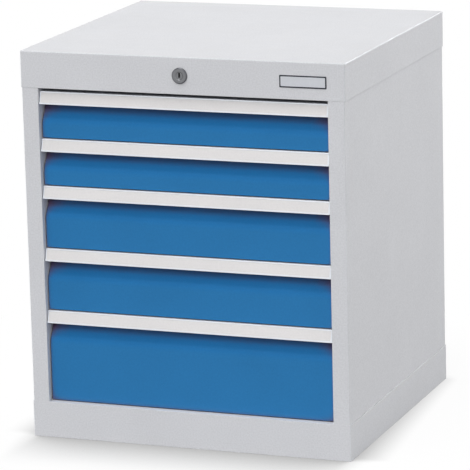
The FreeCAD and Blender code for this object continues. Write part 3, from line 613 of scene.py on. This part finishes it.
@dataclass(frozen=True)
class PlainMatt:
    """Card, printed foil or moulded plastic with a faint tooth."""

    name: str
    colour: Colour
    roughness: float = 0.6
    rough_swing: float = 0.05
    gloss: float = 0.3
    tooth_scale: float = 900.0
    tooth_depth: float = 0.08
    tooth_height: float = 0.1 * MM
    clouds: float = 0.02
    specks: float = 0.02

    def build(self) -> bpy.types.Material:
        """Build the material.

        Returns:
            The material.
        """
        material, tree, shader = new_material(self.name)
        mottle = place_effect(tree, SharedEffect.MOTTLE, {
            "Colour": self.colour, "Clouds": self.clouds, "Specks": self.specks})
        tree.feed(shader.inputs["Base Color"], mottle.outputs["Colour"])
        effect = place_effect(tree, SharedEffect.TOOTH, {"Scale": self.tooth_scale})
        tooth = effect.outputs["Height"]
        rough = tree.spread(tooth, NOISE_LOW, NOISE_HIGH, self.roughness - self.rough_swing,
                            self.roughness + self.rough_swing)
        tree.feed(shader.inputs["Roughness"], rough)
        shader.inputs["Specular IOR Level"].default_value = self.gloss
        raise_surface(tree, shader, tooth, self.tooth_depth, self.tooth_height)
        return material


LOCK_LOW, LOCK_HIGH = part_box("lock_barrel")
LOCK_AXIS = (LOCK_LOW + LOCK_HIGH) / 2


class Finish(Enum):
    """Every finish of the cabinet."""

    HOUSING = PowderCoat("housing_grey_powder_coat", srgb(210, 211, 215), srgb(226, 227, 230),
                         specks=0.05, dust=0.12)
    # The front's edge colour is deeper than its coat: painted shade on its edges and on the facets
    # of its bent grip.
    FRONT = PowderCoat("front_blue_powder_coat", srgb(42, 118, 175), srgb(30, 108, 164),
                       roughness=0.55, gloss=0.15, clouds=0.03, lean_shade_share=0.55,
                       lean_shade_colour=srgb(2, 104, 167), corner_shade=0.95)
    TRAY = PowderCoat("tray_grey_powder_coat", srgb(200, 201, 205), srgb(214, 215, 218),
                      roughness=0.55)
    STRIP = BareMetal("strip_anodised_aluminium", srgb(218, 222, 228), srgb(202, 205, 211),
                      roughness=0.42, metallic=0.35, grain_depth=0.05)
    ZINC = BareMetal("zinc_plated_sheet", srgb(186, 190, 196), srgb(150, 156, 166),
                     roughness=0.38, stain_share=0.5)
    SLIDE = BareMetal("slide_steel", srgb(176, 180, 186), srgb(128, 132, 140),
                      roughness=0.3, stain_share=0.4, grain_depth=0.15)
    CAGE = BareMetal("cage_and_roller_steel", srgb(196, 196, 198), srgb(150, 148, 146),
                     roughness=0.22)
    RIVET = BareMetal("rivet_aluminium", srgb(200, 201, 204), srgb(170, 171, 174))
    WAFER = BareMetal("lock_wafer_steel", srgb(132, 132, 134), srgb(96, 96, 98))
    LOCK = TurnedMetal("lock_nickel", srgb(124, 125, 128), srgb(90, 91, 95),
                       LOCK_AXIS.x, LOCK_AXIS.z)
    GUIDE = PlainMatt("guide_black_nylon", srgb(38, 38, 41), roughness=0.5)
    LABEL = PlainMatt("label_insert_card", srgb(219, 217, 217), roughness=0.55)
    BADGE_RIM = PlainMatt("badge_dark_rim", srgb(44, 46, 54), roughness=0.5)
    BADGE_FIELD = PlainMatt("badge_silver_foil", srgb(205, 208, 214), roughness=0.35, gloss=0.5)


@dataclass
class FinishShelf:
    """Builds each finish's material once."""

    made: dict[str, bpy.types.Material] = field(default_factory=dict)

    def take(self, finish: Finish) -> bpy.types.Material:
        """Give the material of a finish.

        Args:
            finish: The finish.

        Returns:
            Its material, built at its first use.
        """
        if finish.name not in self.made:
            self.made[finish.name] = finish.value.build()
        return self.made[finish.name]


SHELF = FinishShelf()


# ---- Meshes and objects ----


def dress_nodes(finish: Finish, names: Iterable[str]) -> None:
    """Give CAD nodes their finish.

    Args:
        finish: The finish to use.
        names: The nodes that get it.
    """
    material = SHELF.take(finish)
    for name in names:
        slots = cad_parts[name].data.materials
        slots.clear()
        slots.append(material)


def put_in_scene(name: str, data: bpy.types.ID) -> bpy.types.Object:
    """Make an object and link it to the scene.

    Args:
        name: The object's name.
        data: Its mesh, lamp or camera.

    Returns:
        The object.
    """
    made = bpy.data.objects.new(name, data)
    bpy.context.scene.collection.objects.link(made)
    return made


def mesh_from(name: str, shape: bmesh.types.BMesh) -> bpy.types.Mesh:
    """Turn a bmesh into a mesh whose faces point outwards.

    Args:
        name: The mesh's name.
        shape: The bmesh, which is freed.

    Returns:
        The mesh.
    """
    bmesh.ops.remove_doubles(shape, verts=shape.verts, dist=MERGE_DISTANCE)
    bmesh.ops.recalc_face_normals(shape, faces=shape.faces)
    mesh = bpy.data.meshes.new(name)
    shape.to_mesh(mesh)
    shape.free()
    return mesh


def extrude_outline(name: str, outline: Sequence[Point], step: Vector) -> bpy.types.Mesh:
    """Close a flat outline into a solid.

    Args:
        name: The mesh's name.
        outline: Corners of the flat outline, in order.
        step: The way and the length by which it is extruded.

    Returns:
        The closed mesh.
    """
    shape = bmesh.new()
    face = shape.faces.new([shape.verts.new(corner) for corner in outline])
    pushed = bmesh.ops.extrude_face_region(shape, geom=[face])["geom"]
    corners = [part for part in pushed if isinstance(part, bmesh.types.BMVert)]
    bmesh.ops.translate(shape, verts=corners, vec=step)
    return mesh_from(name, shape)


def standing_outline(middle: Vector, wide: float, high: float, corner: float) -> list[Point]:
    """A rectangle with round corners that stands upright and looks along Y.

    Args:
        middle: Its middle.
        wide: Its width.
        high: Its height.
        corner: The radius of its corners.

    Returns:
        Its points, in order.
    """
    points = []
    for quarter, (sign_x, sign_z) in enumerate(((1, 1), (-1, 1), (-1, -1), (1, -1))):
        for step in range(CORNER_STEPS + 1):
            turn = math.pi / 2 * (quarter + step / CORNER_STEPS)
            aside = sign_x * (wide / 2 - corner) + corner * math.cos(turn)
            rise = sign_z * (high / 2 - corner) + corner * math.sin(turn)
            points.append((middle.x + aside, middle.y, middle.z + rise))
    return points


def settle(piece: bpy.types.Object) -> None:
    """Turn a piece's evaluated shape into its plain mesh and drop its modifiers.

    Args:
        piece: The piece with its live modifiers.
    """
    graph = bpy.context.evaluated_depsgraph_get()
    graph.update()
    plain = bpy.data.meshes.new_from_object(piece.evaluated_get(graph))
    plain.name = piece.name
    piece.modifiers.clear()
    piece.data = plain


def soften(piece: bpy.types.Object, width: float) -> None:
    """Round the edges of a piece.

    Args:
        piece: The piece.
        width: How far each edge is cut back.
    """
    modifier = piece.modifiers.new("soft_edges", "BEVEL")
    modifier.width = width
    modifier.segments = EDGE_SEGMENTS
    modifier.limit_method = "ANGLE"
    settle(piece)


def add_piece(name: str, mesh: bpy.types.Mesh, finish: Finish, body: str,
              softness: float = 0.0) -> None:
    """Add a piece to the cabinet.

    Args:
        name: The piece's name.
        mesh: Its mesh.
        finish: Its only finish.
        body: The body that it rides on.
        softness: How far its edges are cut back to round them.
    """
    mesh.materials.clear()
    mesh.materials.append(SHELF.take(finish))
    piece = put_in_scene(name, mesh)
    if softness:
        soften(piece, softness)
    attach(piece, body)
    LOG.info("%s rides on %s", name, body)


# ---- Geometry Nodes ----


@dataclass(frozen=True)
class StudRows:
    """Rows of low round heads along Y, mirrored to both sides of the cabinet.

    Rivets and spot welds are made this way: each row has its count of heads with the pitch
    between them, and every head looks inwards along X.
    """

    name: str
    wide: float
    high: float
    top_share: float = 0.28
    segments: int = 14
    side_segments: int = 2

    def build(self) -> bpy.types.NodeTree:
        """Build the node group with its named inputs.

        Returns:
            The group.
        """
        group = bpy.data.node_groups.new(self.name, "GeometryNodeTree")
        inputs = {"Count": "NodeSocketInt", "Pitch": "NodeSocketFloat",
                  "Half Width": "NodeSocketFloat", "Start": "NodeSocketVector",
                  "Finish": "NodeSocketMaterial"}
        for label, kind in inputs.items():
            group.interface.new_socket(label, in_out="INPUT", socket_type=kind)
        group.interface.new_socket("Geometry", in_out="OUTPUT",
                                   socket_type="NodeSocketGeometry")
        tree = Tree(group)
        given, out = tree.add("NodeGroupInput").outputs, tree.add("NodeGroupOutput")
        step = tree.add("ShaderNodeCombineXYZ", {"Y": given["Pitch"]}).outputs[0]
        line = tree.add("GeometryNodeMeshLine", {"Count": given["Count"],
                                                 "Start Location": given["Start"],
                                                 "Offset": step})
        head = self.head(tree)
        join = tree.add("GeometryNodeJoinGeometry")
        for side in Side:
            aside = tree.maths("MULTIPLY", given["Half Width"], float(side.value))
            shift = tree.add("ShaderNodeCombineXYZ", {"X": aside}).outputs[0]
            row = tree.add("GeometryNodeTransform",
                           {"Geometry": line.outputs[0], "Translation": shift})
            inwards = (0.0, -side.value * math.pi / 2, 0.0)
            heads = tree.add("GeometryNodeInstanceOnPoints", {"Points": row.outputs[0],
                                                              "Instance": head,
                                                              "Rotation": inwards})
            tree.feed(join.inputs[0], heads.outputs[0])
        real = tree.add("GeometryNodeRealizeInstances", {0: join.outputs[0]})
        dressed = tree.add("GeometryNodeSetMaterial", {"Geometry": real.outputs[0],
                                                       "Material": given["Finish"]})
        tree.feed(out.inputs[0], dressed.outputs[0])
        return group

    def head(self, tree: Tree) -> Socket:
        """One head: a low cone with a small flat top, standing on its seat and looking up Z.

        Args:
            tree: The tree of the rows.

        Returns:
            The head's mesh.
        """
        sizes = {"Vertices": self.segments, "Side Segments": self.side_segments,
                 "Radius Top": self.wide * self.top_share, "Radius Bottom": self.wide / 2,
                 "Depth": self.high}
        return tree.add("GeometryNodeMeshCone", sizes).outputs["Mesh"]


def grow_rows(name: str, rows: bpy.types.NodeTree, count: int, pitch: float,
              half_width: float, start: Point, finish: Finish) -> bpy.types.Mesh:
    """Run a group of stud rows.

    Args:
        name: The mesh's name.
        rows: The group.
        count: Heads in each row.
        pitch: Distance between them.
        half_width: Distance of the rows from the cabinet's middle.
        start: Place of the first head, in the middle plane.
        finish: The heads' finish.

    Returns:
        The plain mesh of both rows.
    """
    values = {"Count": count, "Pitch": pitch, "Half Width": half_width, "Start": start,
              "Finish": SHELF.take(finish)}
    holder = put_in_scene(f"{name}_grower", bpy.data.meshes.new(name))
    modifier = holder.modifiers.new("rows", "NODES")
    modifier.node_group = rows
    for item in rows.interface.items_tree:
        if item.in_out == "INPUT":
            modifier[item.identifier] = values[item.name]
    settle(holder)
    mesh = holder.data
    bpy.data.objects.remove(holder)
    return mesh


# ---- Sub-assemblies ----


@dataclass
class Housing:
    """Cover, plinth, side and back panels with their uprights, rails and spot welds."""

    shell: tuple[str, ...] = ("top_cover", "base_plinth", "left_side_panel",
                              "right_side_panel", "back_panel")
    upright_hat: float = 30 * MM
    upright_sheet: float = 1.2 * MM
    weld_wide: float = 6 * MM
    weld_high: float = 0.35 * MM
    weld_count: int = 2
    weld_levels: tuple[float, ...] = (0.12, 0.3, 0.5, 0.7, 0.88)

    def dress(self) -> None:
        """Give every node of the housing its finish."""
        uprights = [f"{side}_{end}_upright" for side in SIDES for end in ENDS]
        rails = [f"{side}_outer_rail_{number}" for side in SIDES for number in DRAWERS]
        dress_nodes(Finish.HOUSING, self.shell)
        dress_nodes(Finish.ZINC, [*uprights, "shaft_bracket"])
        dress_nodes(Finish.SLIDE, rails)
        dress_nodes(Finish.RIVET, ["back_panel_rivets"])
        dress_nodes(Finish.GUIDE, ["bar_guides"])

    def build_weld_spots(self) -> None:
        """Spot welds in the two feet of each hat-section upright, at five levels."""
        rows = StudRows("weld_spot_rows", self.weld_wide, self.weld_high).build()
        shape = bmesh.new()
        for end in ENDS:
            low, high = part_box(f"right_{end}_upright")
            foot = (high.y - low.y - self.upright_hat) / 2
            pitch = high.y - low.y - foot
            for share in self.weld_levels:
                start = (0.0, low.y + foot / 2, low.z + share * (high.z - low.z))
                mesh = grow_rows("weld_spots", rows, self.weld_count, pitch,
                                 high.x - self.upright_sheet, start, Finish.ZINC)
                shape.from_mesh(mesh)
                bpy.data.meshes.remove(mesh)
        name = "upright_weld_spots"
        add_piece(name, mesh_from(name, shape), Finish.ZINC, "housing")


@dataclass
class Badge:
    """Bare plate at the right end of the cover's front skirt: a dark rim and a silver field."""

    wide: float = 75 * MM
    high: float = 19 * MM
    thick: float = 0.8 * MM
    field_thick: float = 1.0 * MM
    rim: float = 2.0 * MM
    corner: float = 1.0 * MM
    edge_share: float = 0.3
    right_margin: float = 29 * MM
    middle_above_skirt: float = 27.5 * MM

    def build(self) -> None:
        """Build the rim and the field."""
        inside = 2 * self.rim
        self.build_plate("badge_rim", self.wide, self.high, self.thick, Finish.BADGE_RIM)
        self.build_plate("badge_field", self.wide - inside, self.high - inside,
                         self.field_thick, Finish.BADGE_FIELD)

    def build_plate(self, name: str, wide: float, high: float, thick: float,
                    finish: Finish) -> None:
        """Build a plate with round corners that lies on the skirt.

        Args:
            name: The piece's name.
            wide: Its width.
            high: Its height.
            thick: How far it stands out from the skirt.
            finish: Its finish.
        """
        cover_low, cover_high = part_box("top_cover")
        middle = Vector((cover_high.x - self.right_margin - self.wide / 2, cover_low.y,
                         cover_low.z + self.middle_above_skirt))
        outline = standing_outline(middle, wide, high, self.corner)
        mesh = extrude_outline(name, outline, Vector((0, -thick, 0)))
        add_piece(name, mesh, finish, "housing", softness=thick * self.edge_share)


@dataclass
class Drawer:
    """One drawer: tray, front, pull strip with its card insert, rails, cages and rivets."""

    number: int
    strip_lean: float = 5 * MM
    strip_ridge: float = 2 * MM
    strip_groove: float = 0.6 * MM
    insert_thick: float = 0.4 * MM
    insert_play: float = 0.15 * MM
    insert_end_gap: float = 2 * MM
    insert_bow: float = 0.08 * MM
    bow_steps: int = 6
    tray_wall: float = 1.0 * MM
    rivet_wide: float = 7 * MM
    rivet_high: float = 1.3 * MM
    rivet_count: int = 4
    rivet_margin: float = 40 * MM

    @property
    def body(self) -> str:
        """Name of the drawer's body."""
        return f"drawer_{self.number}"

    def dress(self) -> None:
        """Give every node of the drawer its finish."""
        number = self.number
        dress_nodes(Finish.FRONT, [f"drawer_front_{number}"])
        dress_nodes(Finish.STRIP, [f"handle_strip_{number}"])
        dress_nodes(Finish.TRAY, [f"drawer_tray_{number}"])
        dress_nodes(Finish.SLIDE, [f"{side}_drawer_rail_{number}" for side in SIDES])
        dress_nodes(Finish.CAGE, [f"roller_cages_{number}"])

    def build_insert(self) -> None:
        """Blank card strip that lies in the groove of the pull strip's leaning face."""
        low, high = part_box(f"handle_strip_{self.number}")
        tall = high.z - low.z
        slope = self.strip_lean / tall
        edge = self.strip_ridge + self.insert_play
        half = (high.x - low.x) / 2 - self.insert_end_gap
        shares = [step / self.bow_steps for step in range(self.bow_steps + 1)]
        section = [(share, self.insert_thick + self.insert_bow * math.sin(math.pi * share))
                   for share in shares]
        section += [(1.0, 0.0), (0.0, 0.0)]
        outline = []
        for share, thick in section:
            rise = edge + (tall - 2 * edge) * share
            seat = low.y + self.strip_groove + slope * rise
            outline.append((-half, seat - thick, low.z + rise))
        name = f"label_insert_{self.number}"
        mesh = extrude_outline(name, outline, Vector((half * 2, 0, 0)))
        add_piece(name, mesh, Finish.LABEL, self.body)

    def build_rail_rivets(self, rows: bpy.types.NodeTree) -> None:
        """Rivet heads inside the tray, which hold its two rails.

        Args:
            rows: The group that makes rows of such heads.
        """
        low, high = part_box(f"right_drawer_rail_{self.number}")
        pitch = (high.y - low.y - self.rivet_margin * 2) / (self.rivet_count - 1)
        start = (0.0, low.y + self.rivet_margin, (low.z + high.z) / 2)
        name = f"rail_rivets_{self.number}"
        mesh = grow_rows(name, rows, self.rivet_count, pitch, low.x - self.tray_wall, start,
                         Finish.RIVET)
        add_piece(name, mesh, Finish.RIVET, self.body)


@dataclass
class CentralLock:
    """Lock cylinder, shaft, crank and bar, with the wafer that shows in the keyway."""

    wafer_wide: float = 1.7 * MM
    wafer_high: float = 2.2 * MM
    wafer_deep: float = 0.5 * MM
    wafer_corner: float = 0.51 * MM
    wafer_setback: float = 3 * MM
    wafer_drop: float = 1.6 * MM

    def dress(self) -> None:
        """Give every node of the lock its finish."""
        dress_nodes(Finish.LOCK, ["lock_barrel", "lock_plug", "lock_nut"])
        dress_nodes(Finish.ZINC, ["lock_shaft", "lock_crank", "lock_bar"])

    def build_wafer(self) -> None:
        """End of the first wafer, low in the key's slot."""
        low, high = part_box("lock_plug")
        middle = Vector(((low.x + high.x) / 2, low.y + self.wafer_setback,
                         (low.z + high.z) / 2 - self.wafer_drop))
        outline = standing_outline(middle, self.wafer_wide, self.wafer_high, self.wafer_corner)
        mesh = extrude_outline("lock_wafer", outline, Vector((0, self.wafer_deep, 0)))
        add_piece("lock_wafer", mesh, Finish.WAFER, "lock_cylinder")


# ---- Stage ----


@dataclass
class Stage:
    """Pale floor, soft studio light and the camera.

    Each reach is how far from the plinth the floor's shade begins, and each depth how dark it
    gets at the foot. Ahead of the cabinet both fade past its corners, and on the left the depth
    also fades away from the plinth.
    """

    floor_half: float = 14.0
    floor_parts: int = 8
    floor_roughness: float = 0.9
    floor_bounce: float = 0.35
    floor_seen: float = 0.92
    white_start: float = 0.1
    white_full: float = 0.4
    reach_ahead: float = 0.16
    reach_left: float = 0.09
    reach_right: float = 0.06
    depth_ahead: float = 1.15
    depth_left: float = 0.85
    depth_right: float = 1.0
    back_share: float = 0.4
    corner_blend: float = 0.02
    corner_fade: float = 0.022
    corner_share: float = 0.1
    beyond_fade: float = 0.03
    beyond_share: float = 0.2
    left_fade: float = 0.06
    left_full: float = 0.01
    shade_samples: int = 16
    darkest: float = 0.4
    lamp_share: float = 0.08
    ambient: float = 0.25
    lens: float = 257.0
    sensor: float = 36.0
    clip_end: float = 60.0
    camera_place: Point = (1.8547, -4.9213, 1.4963)
    yaw: float = 20.764
    pitch: float = 12.963
    roll: float = -1.418

    def build(self) -> None:
        """Build the whole stage."""
        self.build_floor()
        self.build_world()
        self.build_sun("top_softbox", energy=1.33, angle=35, from_side=-30, height=70)
        self.build_sun("front_softbox", energy=1.51, angle=30, from_side=8, height=31)
        self.build_sun("right_fill", energy=0.66, angle=50, from_side=88, height=12)
        self.build_sun("left_fill", energy=1.6, angle=25, from_side=-92, height=8)
        self.build_sun("back_fill", energy=1.7, angle=25, from_side=158, height=8)
        self.build_camera()

    @staticmethod
    def seen_directly(tree: Tree) -> Socket:
        """Tell the camera's view from the light that the stage throws on the object.

        Args:
            tree: The tree of the floor's material or of the world.

        Returns:
            1 for rays from the camera, from gloss and through glass, and 0 for the rest.
        """
        path = tree.add("ShaderNodeLightPath").outputs
        both = tree.maths("MAXIMUM", path["Is Camera Ray"], path["Is Glossy Ray"])
        return tree.maths("MAXIMUM", both, path["Is Transmission Ray"])

    def build_floor(self) -> None:
        """Pale floor that takes the shadow near the cabinet and is plain white far from it."""
        shape = bmesh.new()
        bmesh.ops.create_grid(shape, x_segments=self.floor_parts, y_segments=self.floor_parts,
                              size=self.floor_half)
        mesh = bpy.data.meshes.new("floor")
        shape.to_mesh(mesh)
        shape.free()
        mesh.materials.append(self.build_floor_material())
        put_in_scene("floor", mesh)

    def build_floor_material(self) -> bpy.types.Material:
        """Build the floor's material.

        Returns:
            The material.
        """
        material, tree, shader = new_material("floor_white")
        seen = self.seen_directly(tree)
        grey = tree.spread(seen, 0.0, 1.0, self.floor_bounce, self.floor_seen)
        tree.feed(shader.inputs["Base Color"], grey)
        shader.inputs["Roughness"].default_value = self.floor_roughness
        shader.inputs["Specular IOR Level"].default_value = 0.0
        reach, depth = self.contact_shadow(tree)
        contact = tree.add("ShaderNodeAmbientOcclusion", {"Distance": reach},
                           samples=self.shade_samples)
        hidden = tree.maths("SUBTRACT", 1.0, contact.outputs["AO"])
        open_share = tree.maths("SUBTRACT", 1.0, tree.maths("MULTIPLY", depth, hidden))
        soft = tree.maths("MAXIMUM", open_share, self.darkest)
        glow = tree.add("ShaderNodeEmission", {"Color": soft, "Strength": 1.0})
        glow_share = tree.maths("MULTIPLY", seen, 1.0 - self.lamp_share)
        near = tree.add("ShaderNodeMixShader",
                        {0: glow_share, 1: shader.outputs[0], 2: glow.outputs[0]})
        white = tree.add("ShaderNodeEmission", {"Color": WHITE, "Strength": 1.0})
        away = tree.spread(self.distance_from_plinth(tree), self.white_start, self.white_full)
        white_share = tree.maths("MULTIPLY", away, seen)
        both = tree.add("ShaderNodeMixShader",
                        {0: white_share, 1: near.outputs[0], 2: white.outputs[0]})
        out = next(n for n in tree.tree.nodes if n.type == "OUTPUT_MATERIAL")
        tree.feed(out.inputs["Surface"], both.outputs[0])
        return material

    def contact_shadow(self, tree: Tree) -> tuple[Socket, Socket]:
        """Soft shadow at the cabinet's foot: long ahead, shorter at the sides.

        Args:
            tree: The tree of the floor's material.

        Returns:
            The shadow's reach and its depth.
        """
        low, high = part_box("base_plinth")
        place = tree.place().outputs
        aside = tree.maths("ABSOLUTE", place["X"])
        ahead = tree.spread(place["Y"], low.y, low.y + self.corner_blend, 1.0, 0.0)
        behind = tree.maths("SUBTRACT", 1.0, ahead)
        rightwards = tree.spread(place["X"], low.x, high.x)
        beyond = tree.spread(aside, high.x, high.x + self.beyond_fade, 1.0, self.beyond_share)
        reach_ahead = tree.maths("MULTIPLY", beyond, self.reach_ahead)
        depth_ahead = tree.spread(aside, high.x - self.corner_fade / 2,
                                  high.x + self.corner_fade, self.depth_ahead,
                                  self.depth_ahead * self.corner_share)
        backwards = tree.spread(place["Y"], low.y, high.y, 1.0, self.back_share)
        near = tree.spread(place["X"], low.x - self.left_fade, low.x - self.left_full)
        near_backwards = tree.maths("MULTIPLY", backwards, near)
        results = []
        for left, right, in_front, share in (
                (self.reach_left, self.reach_right, reach_ahead, backwards),
                (self.depth_left, self.depth_right, depth_ahead, near_backwards)):
            side = tree.maths("MULTIPLY", share, tree.spread(rightwards, 0.0, 1.0, left, right))
            results.append(tree.maths("ADD", tree.maths("MULTIPLY", behind, side),
                                      tree.maths("MULTIPLY", ahead, in_front)))
        return results[0], results[1]

    @staticmethod
    def distance_from_plinth(tree: Tree) -> Socket:
        """Distance of a point of the floor from the plinth's outline.

        Args:
            tree: The tree of the floor's material.

        Returns:
            The distance, 0 under the plinth.
        """
        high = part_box("base_plinth")[1]
        place = tree.place().outputs
        outside = {}
        for axis, half in (("X", high.x), ("Y", high.y)):
            past = tree.maths("SUBTRACT", tree.maths("ABSOLUTE", place[axis]), half)
            outside[axis] = tree.maths("MAXIMUM", past, 0.0)
        vector = tree.add("ShaderNodeCombineXYZ", outside).outputs[0]
        length = tree.add("ShaderNodeVectorMath", {0: vector}, operation="LENGTH")
        return length.outputs["Value"]

    def build_world(self) -> None:
        """White surroundings that light the cabinet at a plain level."""
        world = bpy.data.worlds.new("studio")
        world.use_nodes = True
        bpy.context.scene.world = world
        tree = Tree(world.node_tree)
        background = next(n for n in tree.tree.nodes if n.type == "BACKGROUND")
        strength = tree.spread(self.seen_directly(tree), 0.0, 1.0, self.ambient, 1.0)
        tree.feed(background.inputs["Color"], WHITE)
        tree.feed(background.inputs["Strength"], strength)

    @staticmethod
    def build_sun(name: str, energy: float, angle: float, from_side: float,
                  height: float) -> None:
        """Build a wide soft lamp.

        Args:
            name: Its name.
            energy: Its strength.
            angle: How wide it looks, in degrees.
            from_side: Where it stands, in degrees from the front towards the right.
            height: Its height above the floor, in degrees.
        """
        lamp = bpy.data.lights.new(name, "SUN")
        lamp.energy = energy
        lamp.angle = math.radians(angle)
        side, rise = math.radians(from_side), math.radians(height)
        source = Vector((math.sin(side) * math.cos(rise), -math.cos(side) * math.cos(rise),
                         math.sin(rise)))
        holder = put_in_scene(name, lamp)
        holder.rotation_mode = "QUATERNION"
        holder.rotation_quaternion = source.to_track_quat("Z", "Y")

    def build_camera(self) -> None:
        """Camera to the right of the front, looking down."""
        yaw, pitch, roll = (math.radians(turn) for turn in (self.yaw, self.pitch, self.roll))
        ahead = Vector((-math.sin(yaw) * math.cos(pitch), math.cos(yaw) * math.cos(pitch),
                        -math.sin(pitch)))
        level = Vector((math.cos(yaw), math.sin(yaw), 0.0))
        over = level.cross(ahead)
        right = level * math.cos(roll) + over * math.sin(roll)
        up = over * math.cos(roll) - level * math.sin(roll)
        data = bpy.data.cameras.new("camera")
        data.lens, data.sensor_width = self.lens, self.sensor
        data.clip_end = self.clip_end
        camera = put_in_scene("camera", data)
        turned = Matrix((right, up, -ahead)).transposed().to_4x4()
        camera.matrix_world = Matrix.Translation(self.camera_place) @ turned
        bpy.context.scene.camera = camera


def main() -> None:
    """Build every sub-assembly, dress it and set the stage."""
    logging.basicConfig(level=logging.INFO, format="%(name)s: %(message)s")
    bpy.context.scene.view_settings.view_transform = "Standard"
    housing = Housing()
    housing.dress()
    housing.build_weld_spots()
    Badge().build()
    rivet_rows = StudRows("rail_rivet_rows", Drawer.rivet_wide, Drawer.rivet_high).build()
    for number in DRAWERS:
        drawer = Drawer(number)
        drawer.dress()
        drawer.build_insert()
        drawer.build_rail_rivets(rivet_rows)
    lock = CentralLock()
    lock.dress()
    lock.build_wafer()
    Stage().build()


if __name__ == "__main__":
    main()
